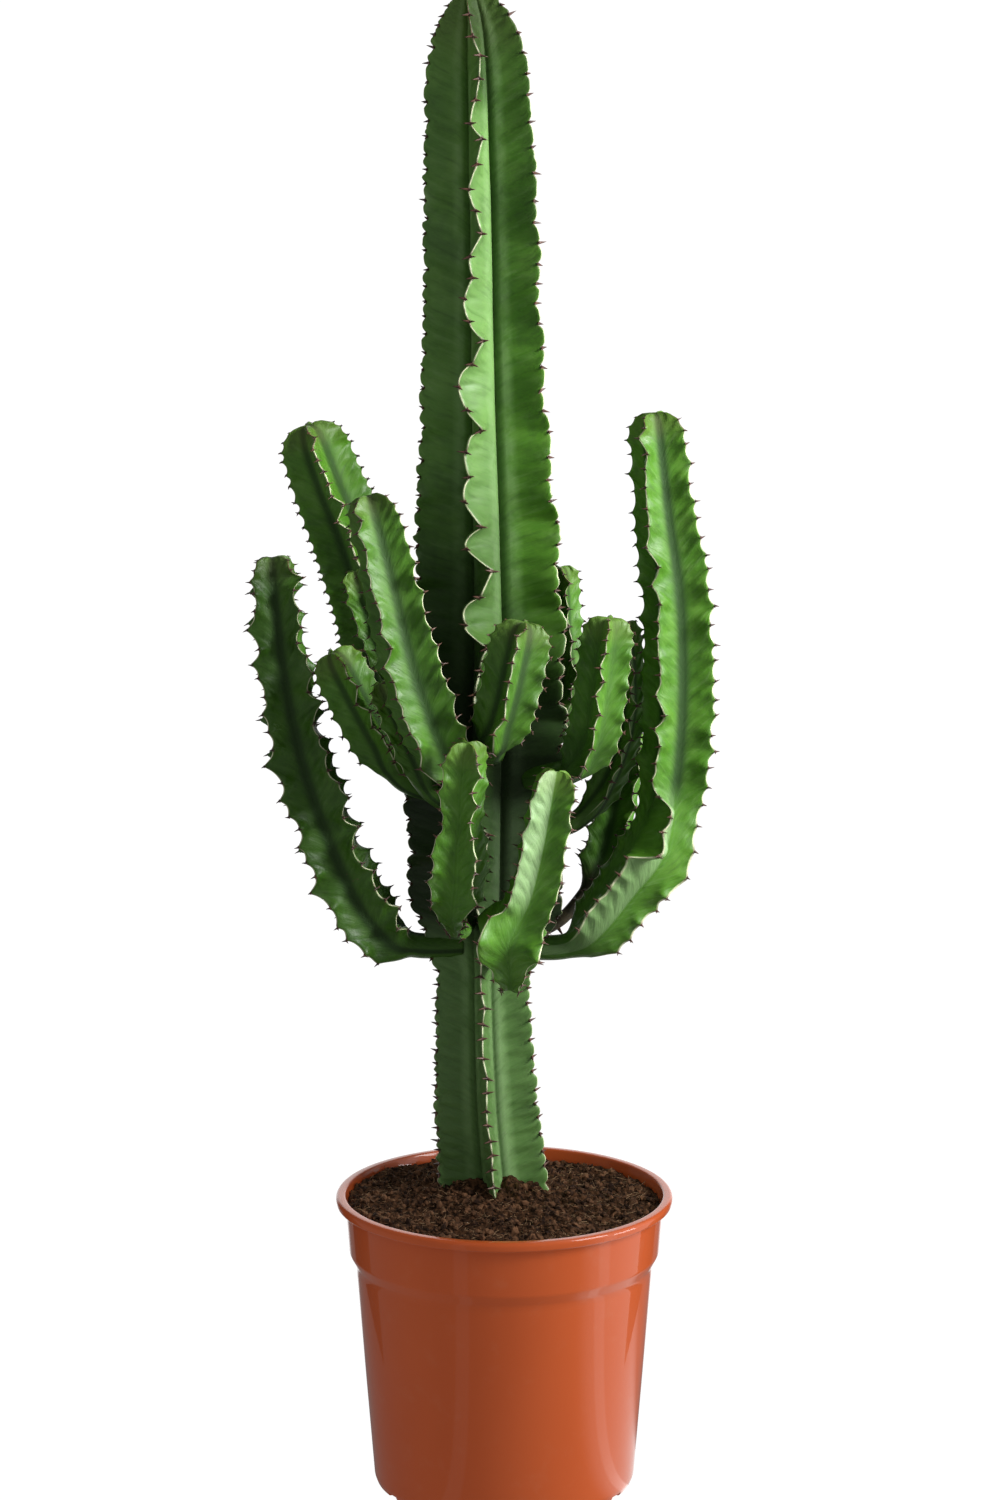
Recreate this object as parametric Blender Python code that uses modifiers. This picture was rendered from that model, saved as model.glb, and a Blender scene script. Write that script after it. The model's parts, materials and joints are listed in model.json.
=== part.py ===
"""Potted candelabra euphorbia: a ribbed trunk with arms and spines, in soil, in a plastic nursery pot.

Metres, +Z up. The origin is the middle of the underside of the pot, the front is towards -Y.
"""

import math

import bmesh
import bpy
from mathutils import Vector, noise

MM = 0.001
GAP = 0.3 * MM
STEP_GAP = 0.4 * MM

# Pot
POT_HEIGHT = 213 * MM
RIM_RADIUS = 120 * MM
LIP_DEPTH = 7 * MM
COLLAR_TOP_RADIUS = 113 * MM
COLLAR_LOW_RADIUS = 110.5 * MM
COLLAR_DEPTH = 42 * MM
STEP_DEPTH = 50 * MM
WALL_TOP_RADIUS = 105.8 * MM
WALL_LOW_RADIUS = 93 * MM
BOTTOM_ROUND = 6 * MM
WALL = 2 * MM
FLOOR = 5.5 * MM
POT_SIDES = 36
GROOVES = 6
GROOVE_WIDTH = 12 * MM
GROOVE_DEPTH = 3 * MM
HUB_RADIUS = 35 * MM
DRAIN_HOLE_RADIUS = 5 * MM
DRAIN_HOLE_PLACE = 68 * MM
DRAIN_HOLE_SIDES = 10

# Soil
SOIL_BELOW_RIM = 7 * MM
SOIL_MOUND = 14 * MM
MOUND_RADIUS = 80 * MM
SOIL_LUMP = 2.5 * MM
LUMP_SIZE = 24 * MM
SOIL_RINGS = 5

# Stems: ribs with teeth at every second ring, and crests that wave from side to side
CURVE_STEPS = 60
RING_STEP = 13.5 * MM
NECK_STEP = 20 * MM
TIP_STEP = 3.5 * MM
VALLEY_RATIO = 0.47
TOOTH = 1.6 * MM
WAVE_LENGTH = 66 * MM
WAVE_LAG = 2.1
TIP_DOME = 0.95
TIP_END = 0.97

# Trunk: places of its middle line, as (x, y, z), and its crest radius at those places
TRUNK_RIBS = 5
TRUNK_LINE = [
    (-7, 20, 140), (-7, 20, 175), (-8, 20, 206), (-9, 20, 220), (-13, 20, 275), (-15, 20, 350),
    (-14, 20, 385), (-12, 20, 430), (-11, 20, 500), (-9, 20, 600), (-10, 20, 680), (-12, 19, 780),
    (-14, 18, 915), (-18, 17, 1000), (-20, 16, 1034), (-23, 15, 1058),
]
TRUNK_RADII = [
    (140, 24), (190, 28), (206, 43), (220, 42), (275, 40), (330, 37), (366, 35.5), (390, 44), (425, 58),
    (500, 61), (590, 58), (680, 54), (780, 47.5), (850, 44), (915, 43), (985, 39), (1006, 37), (1024, 33),
    (1038, 27), (1048, 20), (1055, 12), (1058, 4),
]
TRUNK_TURNS = [(140, 4), (620, -8), (860, -12), (930, -12), (1010, -3), (1058, 0)]
ROOT_TOP = 190
TRUNK_RIBBED_FROM = 206
TRUNK_WAVE = 7 * MM

# Spines: a pair at a tooth, each a slender point with three faces
SPINE_FACES = 3
SPINE_SPREAD = 6 * MM
SPINE_RISE = 4.5 * MM
SPINE_ROOT = 1.1 * MM
SPINE_SINK = 1.3 * MM
SPINE_EVERY = 3
SPINE_LOWEST = 232 * MM
SPINE_CLEARANCE = 4 * MM

# Arms: the route runs from inside the trunk out to the tip, in millimetres. The first `neck` millimetres
# are a plain round neck of radius `neck_radius`. Over the next `flare` millimetres four ribs grow out to
# the crest radii of `body`, given at shares of the route. `turn` is the first rib's angle, 0 to the front
# and 90 to the right.
ARMS = {
    "arm_left_low": dict(
        route=[
            (-30, 17, 390), (-62, 12, 391), (-83, 6, 400), (-104, -2, 429), (-124, -8, 478),
            (-142, -10, 535), (-154, -6, 600), (-161, 0, 672),
        ],
        body=[(0, 27), (0.5, 27), (1, 21.5)],
        neck=34, neck_radius=9, turn=45, wave=4,
    ),
    "arm_left_back": dict(
        route=[
            (-30, 31, 508), (-62, 50, 532), (-82, 57, 568), (-92, 57, 621), (-107, 53, 672),
            (-124, 49, 716), (-138, 45, 758),
        ],
        body=[(0, 29), (0.6, 30), (1, 25.5)],
        neck=44, neck_radius=10, turn=5, wave=3,
    ),
    "arm_left_front": dict(
        route=[
            (-26, -4, 516), (-36, -38, 528), (-44, -64, 547), (-54, -73, 575), (-64, -76, 606),
            (-74, -74, 650), (-84, -70, 690), (-93, -65, 724),
        ],
        body=[(0, 27), (0.4, 27), (1, 22)],
        neck=44, neck_radius=10, turn=-29, wave=3,
    ),
    "arm_left_bud": dict(
        route=[
            (-34, 20, 562), (-68, 16, 574), (-82, 9, 594), (-93, 6, 622), (-104, 5, 662),
        ],
        body=[(0, 15), (1, 14)],
        neck=42, neck_radius=7, turn=40, wave=1,
    ),
    "arm_left_mid": dict(
        route=[
            (-36, 15, 500), (-70, -1, 514), (-89, -12, 546), (-106, -19, 580), (-120, -23, 609),
        ],
        body=[(0, 22), (1, 21)],
        neck=46, neck_radius=9, turn=15, wave=2,
    ),
    "arm_left_small": dict(
        route=[
            (-28, -2, 490), (-52, -19, 510), (-64, -35, 538), (-76, -42, 567), (-86, -44, 592),
        ],
        body=[(0, 15), (1, 14)],
        neck=40, neck_radius=7.5, turn=40, wave=1,
    ),
    "arm_front_left": dict(
        route=[
            (-26, -2, 410), (-30, -40, 414), (-33, -62, 421), (-34, -76, 436), (-31, -86, 458),
            (-30, -92, 486), (-28, -97, 518), (-25, -104, 562),
        ],
        body=[(0, 7), (0.29, 7), (0.5, 24), (0.64, 23), (0.72, 16), (0.8, 19), (1, 18)],
        neck=36, flare=30, neck_radius=6, turn=28, wave=2.5,
    ),
    "arm_front_right": dict(
        route=[
            (-9, 4, 384), (0, -50, 387), (3, -78, 391), (3, -92, 405), (5, -99, 423),
            (17, -102, 449), (24, -102, 475), (29, -101, 500), (33, -99, 524), (36, -98, 541),
        ],
        body=[(0, 8), (0.34, 8), (0.49, 36), (0.585, 23), (0.735, 22.5), (1, 20)],
        neck=52, flare=45, neck_radius=6, turn=-45, wave=3,
    ),
    "arm_front_high": dict(
        route=[
            (-9, -12, 536), (-9, -48, 546), (-4, -70, 562), (3, -78, 588), (9, -80, 616),
            (14, -80, 640),
        ],
        body=[(0, 22), (1, 23)],
        neck=44, neck_radius=10, turn=-6, wave=2,
    ),
    "arm_right_mid": dict(
        route=[
            (18, 8, 512), (46, -17, 523), (59, -36, 545), (65, -44, 577), (69, -48, 612),
            (72, -50, 638),
        ],
        body=[(0, 21), (1, 20)],
        neck=38, neck_radius=9, turn=-4, wave=1.5,
    ),
    "arm_right_behind": dict(
        route=[
            (18, 22, 470), (50, 24, 478), (72, 28, 504), (86, 29, 545), (87, 29, 585), (83, 27, 622),
        ],
        body=[(0, 15), (1, 14)],
        neck=38, neck_radius=7, turn=10, wave=1,
    ),
    "arm_right_tall": dict(
        route=[
            (10, 16, 389), (38, 10, 390), (54, 7, 396), (71, 3, 413), (90, 0, 439), (109, -2, 468),
            (117, 0, 510), (121, 0, 570), (119, 0, 640), (111, 0, 700), (103, 0, 772),
        ],
        body=[(0, 22), (0.2, 26), (0.28, 31), (0.36, 25), (0.44, 30), (0.65, 29.5), (1, 23)],
        neck=34, neck_radius=9, turn=-30, wave=3,
    ),
    "arm_right_stalked": dict(
        route=[
            (6, 38, 388), (34, 46, 397), (50, 52, 410), (65, 57, 432), (76, 60, 463), (83, 60, 502),
            (87, 58, 540),
        ],
        body=[(0, 24), (1, 20)],
        neck=64, neck_radius=4.5, turn=35, wave=2,
    ),
    "arm_back_right": dict(
        route=[
            (10, 44, 522), (35, 68, 534), (44, 84, 560), (41, 88, 600), (39, 87, 652),
        ],
        body=[(0, 20), (1, 17)],
        neck=42, neck_radius=9, turn=20, wave=1.5,
    ),
    "arm_back_tall": dict(
        route=[
            (-18, 48, 522), (-22, 82, 534), (-28, 98, 560), (-30, 101, 625), (-28, 99, 710),
            (-25, 96, 790),
        ],
        body=[(0, 26), (1, 22)],
        neck=40, neck_radius=10, turn=30, wave=2,
    ),
    "arm_back_left": dict(
        route=[
            (-24, 44, 374), (-36, 74, 384), (-44, 94, 410), (-46, 98, 450), (-44, 97, 494),
        ],
        body=[(0, 20), (1, 17)],
        neck=42, neck_radius=9, turn=10, wave=1.5,
    ),
    "arm_back_low": dict(
        route=[
            (0, 46, 408), (8, 74, 418), (18, 92, 440), (22, 96, 480), (22, 95, 524),
        ],
        body=[(0, 20), (1, 17)],
        neck=38, neck_radius=9, turn=40, wave=1.5,
    ),
}
ARM_RIBS = 4
FLARE = 30

# Colours as linear red, green, blue, then roughness
LOOKS = {
    "pot": ((0.42, 0.085, 0.028), 0.38),
    "soil": ((0.022, 0.012, 0.008), 0.95),
    "stem": ((0.055, 0.17, 0.025), 0.45),
}


def clear_scene():
    for thing in list(bpy.data.objects):
        bpy.data.objects.remove(thing, do_unlink=True)


def new_collection(name):
    group = bpy.data.collections.new(name)
    bpy.context.scene.collection.children.link(group)
    return group


def new_material(name, look):
    colour, roughness = LOOKS[look]
    material = bpy.data.materials.new(name)
    material.use_nodes = True
    shader = material.node_tree.nodes["Principled BSDF"]
    shader.inputs["Base Color"].default_value = (*colour, 1.0)
    shader.inputs["Roughness"].default_value = roughness
    shader.inputs["Metallic"].default_value = 0.0
    return material


def new_object(name, mesh, group):
    thing = bpy.data.objects.new(name, mesh)
    group.objects.link(thing)
    return thing


def as_guide(thing):
    """Marks a cutter, which is not part of the object."""
    thing.hide_render = True
    thing.display_type = "WIRE"


def bake(thing):
    """Replaces an object's mesh by the one its modifiers give."""
    graph = bpy.context.evaluated_depsgraph_get()
    mesh = bpy.data.meshes.new_from_object(thing.evaluated_get(graph))
    thing.modifiers.clear()
    thing.data = mesh


def combine(thing, group, operation, solver):
    """Applies one Boolean with every object of a collection, then removes those objects."""
    if group.objects:
        step = thing.modifiers.new("Combine", "BOOLEAN")
        step.operation = operation
        step.operand_type = "COLLECTION"
        step.collection = group
        step.solver = solver
        bake(thing)
    for guide in list(group.objects):
        bpy.data.objects.remove(guide, do_unlink=True)
    bpy.data.collections.remove(group)


def turned(name, profile, sides, group):
    """An object turned round the Z axis from (radius, height) pairs that run down its outer side."""
    mesh = bpy.data.meshes.new(name)
    places = [(radius, 0.0, height) for radius, height in profile]
    mesh.from_pydata(places, [(i, i + 1) for i in range(len(places) - 1)], [])
    thing = new_object(name, mesh, group)
    screw = thing.modifiers.new("Turn", "SCREW")
    screw.steps = sides
    screw.render_steps = sides
    screw.use_merge_vertices = True
    screw.merge_threshold = 0.1 * MM
    screw.use_smooth_shade = False
    bake(thing)
    return thing


def wall_radius(height):
    """Outer radius of the pot's wall below its lip."""
    step_top = POT_HEIGHT - COLLAR_DEPTH
    step_low = POT_HEIGHT - STEP_DEPTH
    if height >= step_top:
        share = (height - step_top) / (COLLAR_DEPTH - LIP_DEPTH)
        return COLLAR_LOW_RADIUS + (COLLAR_TOP_RADIUS - COLLAR_LOW_RADIUS) * min(share, 1.0)
    if height >= step_low:
        share = (height - step_low) / (step_top - step_low)
        return WALL_TOP_RADIUS + (COLLAR_LOW_RADIUS - WALL_TOP_RADIUS) * share
    return WALL_LOW_RADIUS + (WALL_TOP_RADIUS - WALL_LOW_RADIUS) * height / step_low


def pot_profile():
    top = POT_HEIGHT
    step_top = top - COLLAR_DEPTH
    step_low = top - STEP_DEPTH
    inner = [
        (0.0, FLOOR),
        (wall_radius(FLOOR) - WALL - 1.5 * MM, FLOOR),
        (wall_radius(FLOOR) - WALL, FLOOR + 2 * MM),
        (wall_radius(step_low) - WALL, step_low),
        (wall_radius(step_top) - WALL, step_top),
        (COLLAR_TOP_RADIUS - WALL, top - LIP_DEPTH),
        (COLLAR_TOP_RADIUS - WALL + 0.5 * MM, top - 1 * MM),
    ]
    lip = [
        (COLLAR_TOP_RADIUS, top),
        (RIM_RADIUS - 2 * MM, top - 0.4 * MM),
        (RIM_RADIUS, top - 2.2 * MM),
        (RIM_RADIUS - 0.3 * MM, top - LIP_DEPTH + 1 * MM),
        (RIM_RADIUS - 1.8 * MM, top - LIP_DEPTH),
        (COLLAR_TOP_RADIUS, top - LIP_DEPTH - 0.5 * MM),
    ]
    outer = [
        (wall_radius(step_top), step_top),
        (wall_radius(step_low), step_low),
        (WALL_LOW_RADIUS + 0.4 * MM, BOTTOM_ROUND),
        (WALL_LOW_RADIUS - 1.4 * MM, BOTTOM_ROUND * 0.35),
        (WALL_LOW_RADIUS - 5 * MM, 0.0),
        (0.0, 0.0),
    ]
    return inner + lip + outer


def make_pot(group):
    pot = turned("pot", pot_profile(), POT_SIDES, group)
    cutters = new_collection("pot_cutters")
    for k in range(GROOVES):
        angle = 2 * math.pi * (k + 0.5) / GROOVES
        form = bmesh.new()
        bmesh.ops.create_cube(form, size=1.0)
        length = RIM_RADIUS - HUB_RADIUS
        bmesh.ops.scale(form, vec=(length, GROOVE_WIDTH, 2 * GROOVE_DEPTH), verts=form.verts)
        bmesh.ops.translate(form, vec=(HUB_RADIUS + length / 2, 0.0, 0.0), verts=form.verts)
        mesh = bpy.data.meshes.new("groove")
        form.to_mesh(mesh)
        form.free()
        groove = new_object("groove_%d" % k, mesh, cutters)
        groove.rotation_euler.z = angle
        as_guide(groove)
        form = bmesh.new()
        radius = DRAIN_HOLE_RADIUS
        bmesh.ops.create_cone(
            form, cap_ends=True, segments=DRAIN_HOLE_SIDES, radius1=radius, radius2=radius, depth=4 * FLOOR
        )
        mesh = bpy.data.meshes.new("drain_hole")
        form.to_mesh(mesh)
        form.free()
        hole = new_object("drain_hole_%d" % k, mesh, cutters)
        hole.location = (DRAIN_HOLE_PLACE * math.cos(angle), DRAIN_HOLE_PLACE * math.sin(angle), 0.0)
        as_guide(hole)
    bpy.context.view_layer.update()
    combine(pot, cutters, "DIFFERENCE", "EXACT")
    finish(pot, "pot")
    return pot


def finish(thing, look):
    thing.data.materials.clear()
    thing.data.materials.append(new_material(thing.name + "_finish", look))
    thing.data.shade_smooth()
    thing.data.set_sharp_from_angle(angle=math.radians(35))


def soil_height(x, y):
    """Height of the lumpy soil surface, which rises to the trunk."""
    trunk_x, trunk_y = TRUNK_LINE[3][0] * MM, TRUNK_LINE[3][1] * MM
    away = min(math.hypot(x - trunk_x, y - trunk_y) / MOUND_RADIUS, 1.0)
    mound = SOIL_MOUND * (0.5 + 0.5 * math.cos(math.pi * away))
    lump = SOIL_LUMP * noise.noise(Vector((x, y, 0.0)) / LUMP_SIZE)
    return POT_HEIGHT - SOIL_BELOW_RIM + mound + lump


def make_soil(group, hole):
    edge_height = POT_HEIGHT - SOIL_BELOW_RIM
    edge_radius = wall_radius(edge_height) - WALL - GAP
    step_top = POT_HEIGHT - COLLAR_DEPTH
    step_low = POT_HEIGHT - STEP_DEPTH
    top = [(edge_radius * k / SOIL_RINGS, edge_height) for k in range(SOIL_RINGS)]
    side = [
        (edge_radius, edge_height),
        (wall_radius(step_top) - WALL - STEP_GAP, step_top),
        (wall_radius(step_low) - WALL - STEP_GAP, step_low),
        (wall_radius(FLOOR) - WALL - GAP, FLOOR + 2.2 * MM),
        (wall_radius(FLOOR) - WALL - 2 * MM, FLOOR + GAP),
        (0.0, FLOOR + GAP),
    ]
    soil = turned("soil", top + side, POT_SIDES, group)
    for vertex in soil.data.vertices:
        if vertex.co.z > edge_height - 1 * MM:
            vertex.co.z = soil_height(vertex.co.x, vertex.co.y)
    cutters = new_collection("soil_cutters")
    cutters.objects.link(hole)
    as_guide(hole)
    combine(soil, cutters, "DIFFERENCE", "EXACT")
    finish(soil, "soil")
    return soil


def through(points, share):
    """A point of the smooth curve through the given points, share counted in points from the first."""
    last = len(points) - 1
    k = min(int(share), last - 1)
    t = share - k
    a = points[max(k - 1, 0)]
    b, c = points[k], points[k + 1]
    d = points[min(k + 2, last)]
    bend = (a * 2 - b * 5 + c * 4 - d) * t * t
    twist = (b * 3 - a - c * 3 + d) * t ** 3
    return (b * 2 + (c - a) * t + bend + twist) / 2


def even_route(points, step, neck=0.0):
    """Places along the smooth curve through the points, a step apart after the neck, and their distances."""
    points = [Vector(p) * MM for p in points]
    fine = [through(points, k / CURVE_STEPS) for k in range(CURVE_STEPS * (len(points) - 1) + 1)]
    far = [0.0]
    for a, b in zip(fine, fine[1:]):
        far.append(far[-1] + (b - a).length)
    neck_steps = round(neck / NECK_STEP)
    steps = round((far[-1] - neck) / step)
    distances = [neck * i / neck_steps for i in range(neck_steps)]
    distances += [neck + (far[-1] - neck) * i / steps for i in range(steps)]
    distances += [far[-1] - TIP_STEP, far[-1]]
    places, k = [], 0
    for goal in distances:
        while k < len(fine) - 2 and far[k + 1] < goal:
            k += 1
        places.append(fine[k].lerp(fine[k + 1], (goal - far[k]) / (far[k + 1] - far[k])))
    return places, distances


def carried_frames(places):
    """Unit vectors along, to the front and to the right at each place, carried down from the tip."""
    along = []
    for i in range(len(places)):
        before, after = places[max(i - 1, 0)], places[min(i + 1, len(places) - 1)]
        along.append((after - before).normalized())
    front = Vector((0.0, -1.0, 0.0))
    frames = []
    for tangent in reversed(along):
        front = (front - tangent * front.dot(tangent)).normalized()
        frames.append((tangent, front, tangent.cross(front)))
    frames.reverse()
    return frames


def smooth_share(value, start, end):
    share = min(max((value - start) / (end - start), 0.0), 1.0)
    return share * share * (3 - 2 * share)


def between(pairs, value):
    """Reads a smooth value off a list of (place, value) pairs."""
    for (a, va), (b, vb) in zip(pairs, pairs[1:]):
        if value <= b:
            return va + (vb - va) * smooth_share(value, a, b)
    return pairs[-1][1]


class Stem:
    """A ribbed stem: its route, and at each ring its crest radius, how far its ribs stand out, its turn."""

    def __init__(self, name, ribs, wave):
        self.name = name
        self.ribs = ribs
        self.wave = wave
        self.places = []
        self.distances = []
        self.frames = []
        self.radii = []
        self.ribbed = []
        self.turns = []

    def crest_shift(self, i, k):
        """How far rib k's crest leans to its side at ring i."""
        phase = 2 * math.pi * self.distances[i] / WAVE_LENGTH + WAVE_LAG * k
        return self.wave * math.sin(phase) * self.ribbed[i] * self.radii[i] / max(self.radii)

    def tooth(self, i, k):
        """Whether rib k has a tooth at ring i, and how far its crest stands out there."""
        there = (i + k) % 2 == 0
        height = TOOTH * self.ribbed[i] * self.radii[i] / max(self.radii)
        return there, height if there else -height

    def rib_frame(self, i, k):
        tangent, front, right = self.frames[i]
        angle = self.turns[i] + 2 * math.pi * k / self.ribs
        out = front * math.cos(angle) + right * math.sin(angle)
        side = right * math.cos(angle) - front * math.sin(angle)
        return tangent, out, side

    def ring(self, i, grow):
        """The ring's corners: for each rib a foot, the crest and the other foot."""
        foot_angle = 2 * math.pi / self.ribs / 3
        corners = []
        radius, ribbed = self.radii[i], self.ribbed[i]
        foot = radius * (1 - ribbed * (1 - VALLEY_RATIO))
        for k in range(self.ribs):
            _, out, side = self.rib_frame(i, k)
            foot_out = foot * math.cos(foot_angle) + grow * math.cos(foot_angle)
            foot_side = foot * math.sin(foot_angle) + grow * (math.sin(foot_angle) * (1 - ribbed) + ribbed)
            crest = radius + self.tooth(i, k)[1] + grow * (1 + 2 * ribbed)
            lean = self.crest_shift(i, k)
            corners.append(self.places[i] + out * foot_out - side * foot_side)
            corners.append(self.places[i] + out * crest + side * lean)
            corners.append(self.places[i] + out * foot_out + side * foot_side)
        return corners

    def mesh(self, grow=0.0, last=None):
        """The stem as one closed skin over its rings, to ring `last` or to its tip."""
        last = len(self.places) - 1 if last is None else last
        form = bmesh.new()
        rings = []
        for i in range(last + 1):
            corners = self.ring(i, grow)
            if i == 0:
                corners = [corner - self.frames[0][0] * grow for corner in corners]
            rings.append([form.verts.new(corner) for corner in corners])
        count = len(rings[0])
        for low, high in zip(rings, rings[1:]):
            for j in range(count):
                n = (j + 1) % count
                form.faces.new((low[j], low[n], high[n]))
                form.faces.new((low[j], high[n], high[j]))
        form.faces.new(list(reversed(rings[0])))
        form.faces.new(rings[-1])
        bmesh.ops.recalc_face_normals(form, faces=form.faces)
        mesh = bpy.data.meshes.new(self.name)
        form.to_mesh(mesh)
        form.free()
        return mesh

    def spine_places(self):
        """Rings and ribs that carry a pair of spines."""
        for k in range(self.ribs):
            rings = [i for i in range(len(self.places) - 1) if self.places[i].z > SPINE_LOWEST]
            teeth = [i for i in rings if self.tooth(i, k)[0] and self.ribbed[i] > 0.8]
            for number, i in enumerate(reversed(teeth)):
                if (number + k) % SPINE_EVERY == 0:
                    yield i, k

    def spine_pair(self, i, k):
        """Root, along and tips of a pair of spines at ring i on rib k."""
        tangent, out, side = self.rib_frame(i, k)
        crest = self.places[i] + out * (self.radii[i] + self.tooth(i, k)[1]) + side * self.crest_shift(i, k)
        root = crest - out * SPINE_SINK
        tips = [crest + out * SPINE_RISE + side * SPINE_SPREAD * way for way in (-1, 1)]
        return root, tangent, out, tips


def trunk_stem():
    stem = Stem("trunk", TRUNK_RIBS, TRUNK_WAVE)
    stem.places, stem.distances = even_route(TRUNK_LINE, RING_STEP)
    stem.frames = carried_frames(stem.places)
    for place in stem.places:
        height = place.z / MM
        stem.radii.append(between(TRUNK_RADII, height) * MM)
        stem.ribbed.append(smooth_share(height, ROOT_TOP, TRUNK_RIBBED_FROM))
        stem.turns.append(math.radians(between(TRUNK_TURNS, height)))
    return stem


def arm_stem(name, spec):
    stem = Stem(name, ARM_RIBS, spec["wave"] * MM)
    stem.places, stem.distances = even_route(spec["route"], RING_STEP, spec["neck"] * MM)
    stem.frames = carried_frames(stem.places)
    length = stem.distances[-1] / MM
    dome = spec["body"][-1][1] * TIP_DOME
    flare = spec.get("flare", FLARE)
    for distance in stem.distances:
        s = distance / MM
        ribbed = smooth_share(s, spec["neck"], spec["neck"] + flare)
        body = between(spec["body"], s / length)
        radius = spec["neck_radius"] + (body - spec["neck_radius"]) * ribbed
        if s > length - dome:
            rise = TIP_END * (s - length + dome) / dome
            radius *= math.sqrt(1 - rise * rise)
        stem.radii.append(radius * MM)
        stem.ribbed.append(ribbed)
        stem.turns.append(math.radians(spec["turn"]))
    stem.neck_rings = round(spec["neck"] * MM / NECK_STEP)
    return stem


def clear_of_others(point, own, stems):
    """Whether a spine's tip stays clear of every other stem."""
    for other in stems:
        if other is own:
            continue
        for place, radius in zip(other.places, other.radii):
            if (place - point).length < radius + SPINE_CLEARANCE + RING_STEP / 2:
                return False
    return True


def add_spines(thing, stem, stems):
    """Fuses pairs of spines to the stem's teeth: each pair is one three-sided sliver, bent at its root."""
    spines = new_collection(stem.name + "_spines")
    for i, k in stem.spine_places():
        root, tangent, out, tips = stem.spine_pair(i, k)
        if not all(clear_of_others(tip, stem, stems) for tip in tips):
            continue
        form = bmesh.new()
        corners = []
        for n in range(SPINE_FACES):
            angle = math.pi * (2 * n / SPINE_FACES - 0.5)
            way = tangent * math.cos(angle) + out * math.sin(angle)
            corners.append(form.verts.new(root + way * SPINE_ROOT))
        for tip in tips:
            end = form.verts.new(tip)
            for n in range(SPINE_FACES):
                form.faces.new((corners[n], corners[(n + 1) % SPINE_FACES], end))
        bmesh.ops.recalc_face_normals(form, faces=form.faces)
        mesh = bpy.data.meshes.new("spines")
        form.to_mesh(mesh)
        form.free()
        pair = new_object("%s_spines_%d_%d" % (stem.name, i, k), mesh, spines)
        as_guide(pair)
    combine(thing, spines, "UNION", "MANIFOLD")


def make_stems(group):
    trunk = trunk_stem()
    arms = [arm_stem(name, spec) for name, spec in ARMS.items()]
    stems = [trunk] + arms
    for stem in stems:
        thing = new_object(stem.name, stem.mesh(), group)
        if stem is trunk:
            sockets = new_collection("trunk_sockets")
            for arm in arms:
                socket = new_object(arm.name + "_socket", arm.mesh(GAP, arm.neck_rings), sockets)
                as_guide(socket)
            combine(thing, sockets, "DIFFERENCE", "EXACT")
        add_spines(thing, stem, stems)
        finish(thing, "stem")
    return trunk


def main():
    clear_scene()
    group = new_collection("potted_candelabra_euphorbia")
    make_pot(group)
    trunk = make_stems(group)
    hole = bpy.data.objects.new("trunk_hole", trunk.mesh(GAP))
    make_soil(group, hole)


main()
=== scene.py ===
"""The looks of the potted candelabra euphorbia: fine stems with teeth and spines, soil and a moulded pot.

Metres, +Z up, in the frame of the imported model. The front is towards -Y.
"""

import json
import math
import random

import bmesh
import bpy
import numpy as np
from mathutils import Matrix, Vector, noise

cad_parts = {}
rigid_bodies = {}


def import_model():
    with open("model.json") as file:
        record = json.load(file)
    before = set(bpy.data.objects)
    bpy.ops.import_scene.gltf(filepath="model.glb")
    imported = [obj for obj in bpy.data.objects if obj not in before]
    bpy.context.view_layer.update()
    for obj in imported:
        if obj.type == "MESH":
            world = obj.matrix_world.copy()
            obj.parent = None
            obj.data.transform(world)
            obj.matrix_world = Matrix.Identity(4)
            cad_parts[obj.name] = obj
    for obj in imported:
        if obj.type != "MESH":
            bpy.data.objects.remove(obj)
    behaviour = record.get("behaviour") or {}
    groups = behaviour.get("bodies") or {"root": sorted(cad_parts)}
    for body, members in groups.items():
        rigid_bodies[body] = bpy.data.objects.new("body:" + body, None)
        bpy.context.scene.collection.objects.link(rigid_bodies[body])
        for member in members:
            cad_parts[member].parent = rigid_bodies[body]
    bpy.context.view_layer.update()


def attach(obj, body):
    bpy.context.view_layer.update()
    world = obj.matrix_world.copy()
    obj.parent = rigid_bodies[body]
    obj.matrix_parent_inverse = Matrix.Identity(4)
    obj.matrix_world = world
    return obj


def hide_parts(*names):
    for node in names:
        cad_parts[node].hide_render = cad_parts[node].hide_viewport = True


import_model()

MM = 0.001

# Pot
POT_HEIGHT = 213 * MM
RIM_RADIUS = 120 * MM
LIP_DEPTH = 7 * MM
LIP_INNER_RADIUS = 113.2 * MM
COLLAR_TOP_RADIUS = 113 * MM
COLLAR_LOW_RADIUS = 110.5 * MM
COLLAR_DEPTH = 42 * MM
STEP_DEPTH = 50 * MM
WALL_TOP_RADIUS = 105.8 * MM
WALL_LOW_RADIUS = 93 * MM
CORNER_ROUND = 1.6 * MM
WALL = 2 * MM
FLOOR = 5.5 * MM
POT_SIDES = 160
GROOVES = 6
GROOVE_WIDTH = 12 * MM
GROOVE_DEPTH = 3 * MM
HUB_RADIUS = 35 * MM
DRAIN_HOLE_RADIUS = 5 * MM
DRAIN_HOLE_PLACE = 68 * MM
SHARP_ANGLE = 40

# Soil
SOIL_BELOW_RIM = 6 * MM
SOIL_MOUND = 14 * MM
SOIL_TILT = 1.8 * MM
# Widths and heights of the soil's lumps, in millimetres
SOIL_LUMPS = [(24, 3.0), (9, 3.2), (4, 2.4), (1.9, 1.1)]
MOUND_RADIUS = 80 * MM
# Levels of the filling's outside below its edge, and its gap to the wall there
SOIL_LEVELS = (190 * MM, 163 * MM, 8 * MM)
SOIL_GAP = 0.4 * MM
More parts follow.
